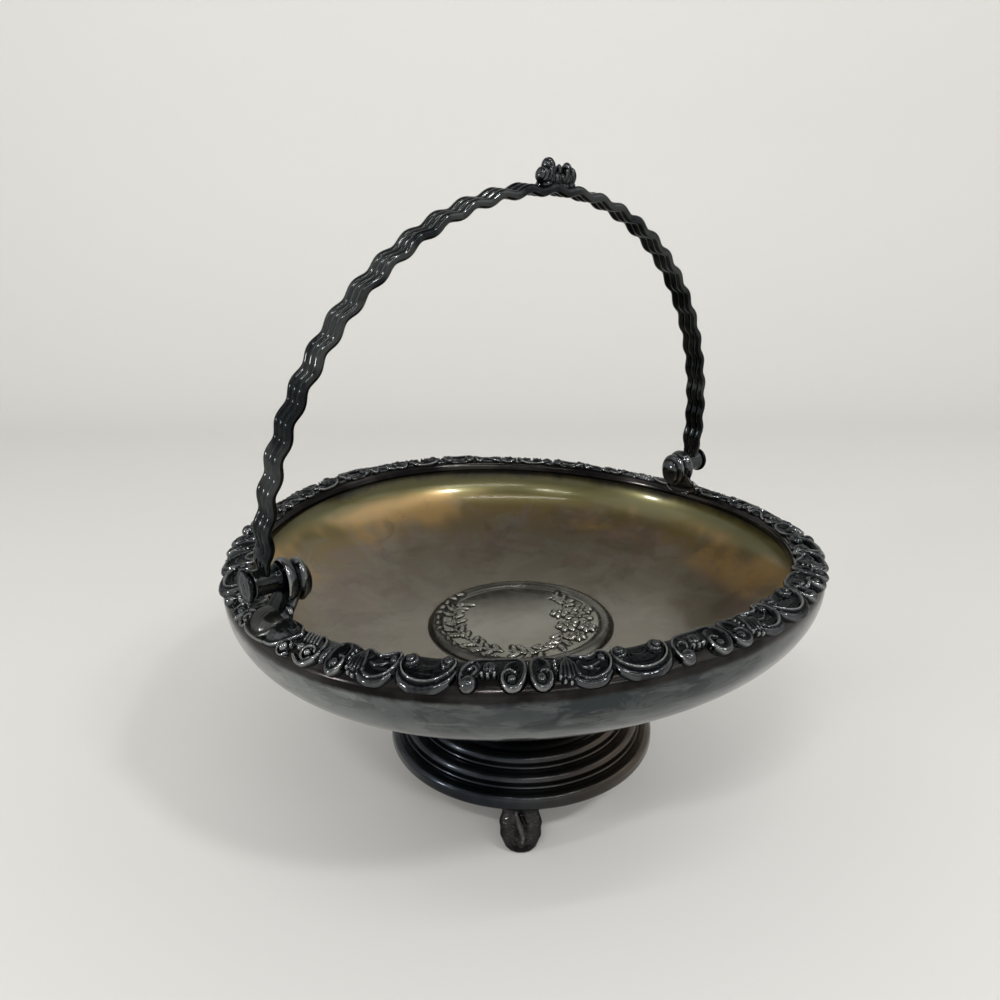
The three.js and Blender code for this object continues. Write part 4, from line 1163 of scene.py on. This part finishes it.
def add_medallion(finish):
    """Dished centre with flower sprays inside a moulded ring."""
    floor = BOTTOM_HEIGHT + BOWL_SHEET + SOLDER_GAP
    rings, around = 150, 360
    radius = np.linspace(0.3, MEDALLION_RADIUS, rings)
    angle = np.linspace(0, 2 * np.pi, around, endpoint=False)
    q, a = np.meshgrid(radius, angle, indexing="ij")
    x, y = q * np.cos(a), q * np.sin(a)
    r = Relief(x, y)
    r.h = np.zeros_like(x)
    spray(r)
    r.h = np.where(q < MEDALLION_RADIUS - 2.5, r.h, 0)
    relief = r.relief(10, 0.7) - 0.14 * (q > MEDALLION_RADIUS - RING_WIDTH - 1)
    section_radius = [0, 30, 34, 35.4, 36.2, 36.8, 37.6, 38.8, 39.8, 40.8, 41.6, 42.3,
                      MEDALLION_RADIUS]
    section_height = [1.4, 1.0, 0.9, 0.8, 1.0, 1.9, 2.2, 2.6, 2.55, 2.2, 1.5, 0.9, 0.1]
    base = np.interp(q, section_radius, section_height)
    for _ in range(2):
        base[1:-1] = (base[:-2] + 2 * base[1:-1] + base[2:]) / 4
    points = np.stack([x, y, floor + base + r.h], -1).reshape(-1, 3)
    faces = grid_faces(rings, around, wrap_cols=True)
    faces.append(list(range(around)))
    under = np.stack([x[-1], y[-1], np.full(around, floor)], -1)
    points = np.vstack([points, under])
    faces += grid_faces(2, around, (rings - 1) * around, wrap_cols=True)
    faces.append(list(range(rings * around, (rings + 1) * around)))
    relief = np.concatenate([relief.ravel(), np.full(around, 0.5)])
    medallion = piece("medallion_plate", points, faces, [finish], carried={"relief": relief})
    finished(medallion, "centre_medallion", "basket")


def spray(r):
    """A cluster of flowers on one side of the centre, with sprigs, buds and foliage round the rest."""
    for radius, degrees, size in ((27, 322, 6.2), (31, 338, 4.6), (22, 300, 4.8), (31, 304, 4.2),
                                  (19, 336, 4.2), (30, 286, 3.8)):
        flower(r, *polar(radius, degrees), size)
    for stem in (((24, 350), (29, 2), (31, 18)), ((22, 282), (27, 270), (31, 256)),
                 ((30, 252), (32, 236), (30, 220)), ((31, 214), (32, 198), (30, 182)),
                 ((30, 178), (31, 160), (30, 142)), ((31, 140), (32, 124), (31, 106))):
        sprig(r, [polar(*place) for place in stem], 3.1)
    for degrees in range(100, 220, 8):
        r.dome(*polar(38, degrees), 2.4, 1.0, 0.9, turn=degrees + 50 + degrees % 3 * 20)
    for radius, degrees in ((27, 228), (29, 206), (27, 190), (30, 170), (27, 246), (28, 158),
                            (31, 146), (29, 130), (32, 112)):
        r.dome(*polar(radius, degrees), 1.9, 1.3, 1.6, turn=degrees + 60)


# Pedestal and feet

def pedestal_profile():
    """The spun sheet's section: flat top, neck, three rounded steps, turned-in edge, then its inside."""
    top = BOTTOM_HEIGHT - SOLDER_GAP
    under = top - PEDESTAL_SHEET
    skirt_top = EDGE_HEIGHT + SKIRT_RISE

    def step(number):
        radius = PEDESTAL_RADIUS - number * STEP_RUN
        height = skirt_top + 2 + number * STEP_RISE
        angle = np.radians(np.linspace(132, -8, 18))
        turned = np.stack([radius - 3.3 + 3.3 * np.cos(angle), height - 2.9 + 2.9 * np.sin(angle)], -1)
        return [(radius - 6.35, height + 0.1), (radius - 6.05, height - 0.6), *turned,
                (radius - 0.12, height - 4.2)]

    neck_foot = step(2)[0]
    neck = bezier((30, top), (20.5, top - 12), (20.5, neck_foot[1] + 9),
                  (neck_foot[0] - 1.5, neck_foot[1] + 0.6), 40)
    edge = [(PEDESTAL_RADIUS, EDGE_HEIGHT + 1.0), (PEDESTAL_RADIUS - 0.3, EDGE_HEIGHT + 0.3),
            (PEDESTAL_RADIUS - 1.0, EDGE_HEIGHT)]
    outside = np.vstack([neck, step(2), step(1), step(0), edge[:1]])
    inside = offset_outline(outside, -PEDESTAL_SHEET)[::-1]
    inside[-1] = (inside[-1][0], under)
    turned_in = PEDESTAL_RADIUS - EDGE_TURN_IN
    edge_inside = EDGE_HEIGHT + PEDESTAL_SHEET
    return np.vstack([[[0, top]], [[8, top]], [[20, top]], outside, edge[1:], [[turned_in, EDGE_HEIGHT]],
                      [[turned_in, edge_inside]], [[PEDESTAL_RADIUS - 1.4, edge_inside]],
                      inside[1:], [[14, under]], [[0, under]]])


def add_pedestal(finish):
    points, faces = lathe(pedestal_profile(), 180)
    pedestal = piece("pedestal_shell", points, faces, [finish],
                     carried={"right": facing(points, BROWN_SHEEN_SIDE)})
    finished(pedestal, "pedestal", "basket")


def foot_shape():
    """A cast shell foot at +X. Its face has a tongue in the middle, beads and two rounded cheeks."""
    height = EDGE_HEIGHT - SOLDER_GAP
    share = [0, 0.02, 0.06, 0.12, 0.22, 0.36, 0.5, 0.64, 0.78, 0.9, 1]
    half_width = [3.0, 4.1, 5.4, 6.5, 7.6, 8.4, 8.7, 8.8, 8.3, 7.6, 7.2]
    depth = [4.6, 5.4, 6.2, 7.0, 7.9, 8.5, 8.6, 8.4, 7.7, 6.9, 6.4]
    out = [3.4, 3.5, 3.55, 3.5, 3.2, 2.7, 2.3, 1.8, 1.1, 0.4, 0]
    up = np.linspace(0, 1, 70)
    across = 96
    angle = np.linspace(0, 2 * np.pi, across, endpoint=False)
    middle = PEDESTAL_RADIUS - FOOT_INSET
    rings = []
    carved = []
    for u in up:
        half = np.interp(u, share, half_width) + 0.16 * math.sin(21 * u)
        deep = np.interp(u, share, depth)
        front = np.cos(angle) > 0
        face = np.clip(np.cos(angle), 0, 1) ** 0.5
        relief = 1.25 * foot_relief(np.sin(angle), u) * face * min(1, u * 14) * min(1, (1 - u) * 10)
        reach = deep / 2 * np.where(front, 1.0, 0.7) + relief
        x = middle + np.interp(u, share, out) + reach * np.cos(angle)
        rings.append(np.stack([x, half * np.sin(angle), np.full(across, u * height)], -1))
        carved.append(np.clip(0.50 + relief * 0.30, 0, 1))
    points, faces = loft(rings)
    return points, faces, np.concatenate(carved)


def ramped(value, length):
    """0 where value is below 0, 1 from length on, and a straight rise between."""
    return min(1.0, max(0.0, value / length))


def foot_relief(v, u):
    """Carving of the foot's face: v across from -1 to 1, u up from 0 to 1."""
    line = 0.10 - 0.75 * max(0.0, u - 0.5)
    half = 0.05 + 0.10 * math.sin(math.pi * ramped(0.98 - u, 0.66)) ** 0.8
    tongue = 0.95 * np.clip(1 - ((v - line) / half) ** 2, 0, 1) ** 0.5 if 0.32 < u < 0.98 else 0 * v
    beside = -0.9 * np.exp(-(((v - line - half - 0.12) / 0.10) ** 2)) * ramped(u - 0.5, 0.25)
    beads = 0.0 * v
    for bead_v, bead_u in ((0.06, 0.36), (0.18, 0.44), (-0.08, 0.30), (0.20, 0.30), (0.05, 0.22),
                           (-0.2, 0.4)):
        beads += 0.5 * np.exp(-(((v - bead_v) / 0.07) ** 2 + ((u - bead_u) / 0.04) ** 2))
    cheek = 0.45 * np.clip(1 - ((np.abs(v) - 0.60) / 0.34) ** 2, 0, 1) ** 0.5 * ramped(u - 0.15, 0.2)
    claw = -0.5 * np.exp(-(((u - 0.13 - 0.5 * v ** 2) / 0.03) ** 2)) * (np.abs(v) < 0.5)
    grain = np.sin(23 * v + 3 * np.sin(19 * u)) * np.sin(41 * u + 4 * np.sin(11 * v))
    pebble = np.sin(47 * v + 2 * np.sin(31 * u)) * np.sin(83 * u + 2 * np.sin(29 * v))
    rough = (0.24 * grain + 0.12 * pebble) * (np.abs(v - line) > half + 0.05)
    return tongue + beside + beads + cheek + claw + rough


def add_feet(finish):
    points, faces, relief = foot_shape()
    for i in range(3):
        angle = math.radians(FOOT_ANGLE + 120 * i)
        c, s = math.cos(angle), math.sin(angle)
        turned = points @ np.array([[c, s, 0], [-s, c, 0], [0, 0, 1]])
        foot = piece(f"shell_foot_{i + 1}", turned, faces, [finish], carried={"relief": relief})
        finished(foot, f"foot_{i + 1}", "basket")


# Table, light and camera

def add_table():
    """A pale table that sweeps up behind the basket. Its sizes here are in metres."""
    near_edge = -1.6
    flat = 0.72
    bend = 0.45
    top = 2.4
    half_width = 2.6
    rows = [(d, 0.0) for d in np.linspace(near_edge, flat, 12)]
    for t in np.radians(np.linspace(0, 90, 24)[1:]):
        rows.append((flat + bend * math.sin(t), bend * (1 - math.cos(t))))
    rows.append((flat + bend, top))
    rows = np.array(rows) / MM
    ahead = np.array([math.cos(CAMERA_TURN), math.sin(CAMERA_TURN)])
    aside = np.array([-ahead[1], ahead[0]])
    across = np.linspace(-half_width, half_width, 14) / MM
    points = [[*(ahead * d + aside * a), z] for d, z in rows for a in across]
    table = piece("table_sweep", points, grid_faces(len(rows), len(across)), [floor_finish()])


def lamp(name, place, length, width, power):
    """A flat lamp that faces the basket."""
    light = bpy.data.lights.new(name, "AREA")
    light.shape = "RECTANGLE"
    light.size = length
    light.size_y = width
    light.energy = power
    thing = bpy.data.objects.new(name, light)
    thing.location = place
    thing.rotation_euler = (Vector((0, 0, 0.1)) - Vector(place)).to_track_quat("-Z", "Y").to_euler()
    bpy.context.scene.collection.objects.link(thing)


def add_lamps():
    for name, (place, power) in SOFT_LAMPS.items():
        lamp(name, place, SOFT_SIZE, SOFT_SIZE, power)
    for name, place in BULBS.items():
        lamp(name, place, BULB_SIZE, BULB_SIZE, BULB_POWER)
    for name, (place, length) in TUBES.items():
        lamp(name, place, length, TUBE_WIDTH, TUBE_POWER)


def add_world():
    """Soft light from all round, pale at the level of the table and darker overhead."""
    world = bpy.data.worlds.new("studio")
    bpy.context.scene.world = world
    world.use_nodes = True
    studio = Nodes(world.node_tree)
    look = studio.node("ShaderNodeTexCoord")
    upward = studio.node("ShaderNodeSeparateXYZ", sockets={0: look}, output=2)
    colour = studio.ramp(upward, [(0.05, (0.86, 0.86, 0.85)), (0.40, (0.60, 0.60, 0.59)),
                                  (0.95, (0.24, 0.24, 0.24))])
    studio.set(studio.tree.nodes["Background"], {"Color": colour, "Strength": 1.15})


def add_camera():
    a, p, roll = CAMERA_TURN, CAMERA_PITCH, CAMERA_ROLL
    ahead = Vector((math.cos(a) * math.cos(p), math.sin(a) * math.cos(p), -math.sin(p)))
    right = ahead.cross(Vector((0, 0, 1))).normalized()
    up = right.cross(ahead)
    rolled_right = right * math.cos(roll) + up * math.sin(roll)
    rolled_up = -right * math.sin(roll) + up * math.cos(roll)
    turn = Matrix((rolled_right, rolled_up, -ahead)).transposed()
    data = bpy.data.cameras.new("camera")
    data.lens = CAMERA_LENS
    data.sensor_width = 36
    data.clip_start = 0.01
    camera = bpy.data.objects.new("camera", data)
    camera.matrix_world = Matrix.Translation(CAMERA_PLACE) @ turn.to_4x4()
    bpy.context.scene.collection.objects.link(camera)
    bpy.context.scene.camera = camera


border_finish = cast_finish("border silver", BLACK_TARNISH, GREY_TARNISH, RUBBED_SILVER, 0.11)
hinge_finish = cast_finish("hinge silver", BLACK_TARNISH, GREY_TARNISH, RUBBED_SILVER, 0.13)
lug_leaf = cast_finish("hinge leaf silver", (0.010, 0.010, 0.010), (0.050, 0.050, 0.047),
                       RUBBED_SILVER, 0.24)
foot_finish = cast_finish("foot silver", (0.006, 0.006, 0.007), (0.034, 0.032, 0.031),
                          (0.20, 0.195, 0.19), 0.14)
rod = rod_finish()

add_camera()
add_bowl(bowl_outside_finish(), bowl_inside_finish())
add_border(border_finish)
add_hinges(hinge_finish, lug_leaf, rod)
for number in range(3):
    add_strand(number, rod)
add_finial(hinge_finish)
add_medallion(medallion_finish())
add_pedestal(base_finish())
add_feet(foot_finish)
add_table()
add_lamps()
add_world()

bpy.context.scene.view_settings.view_transform = "Standard"
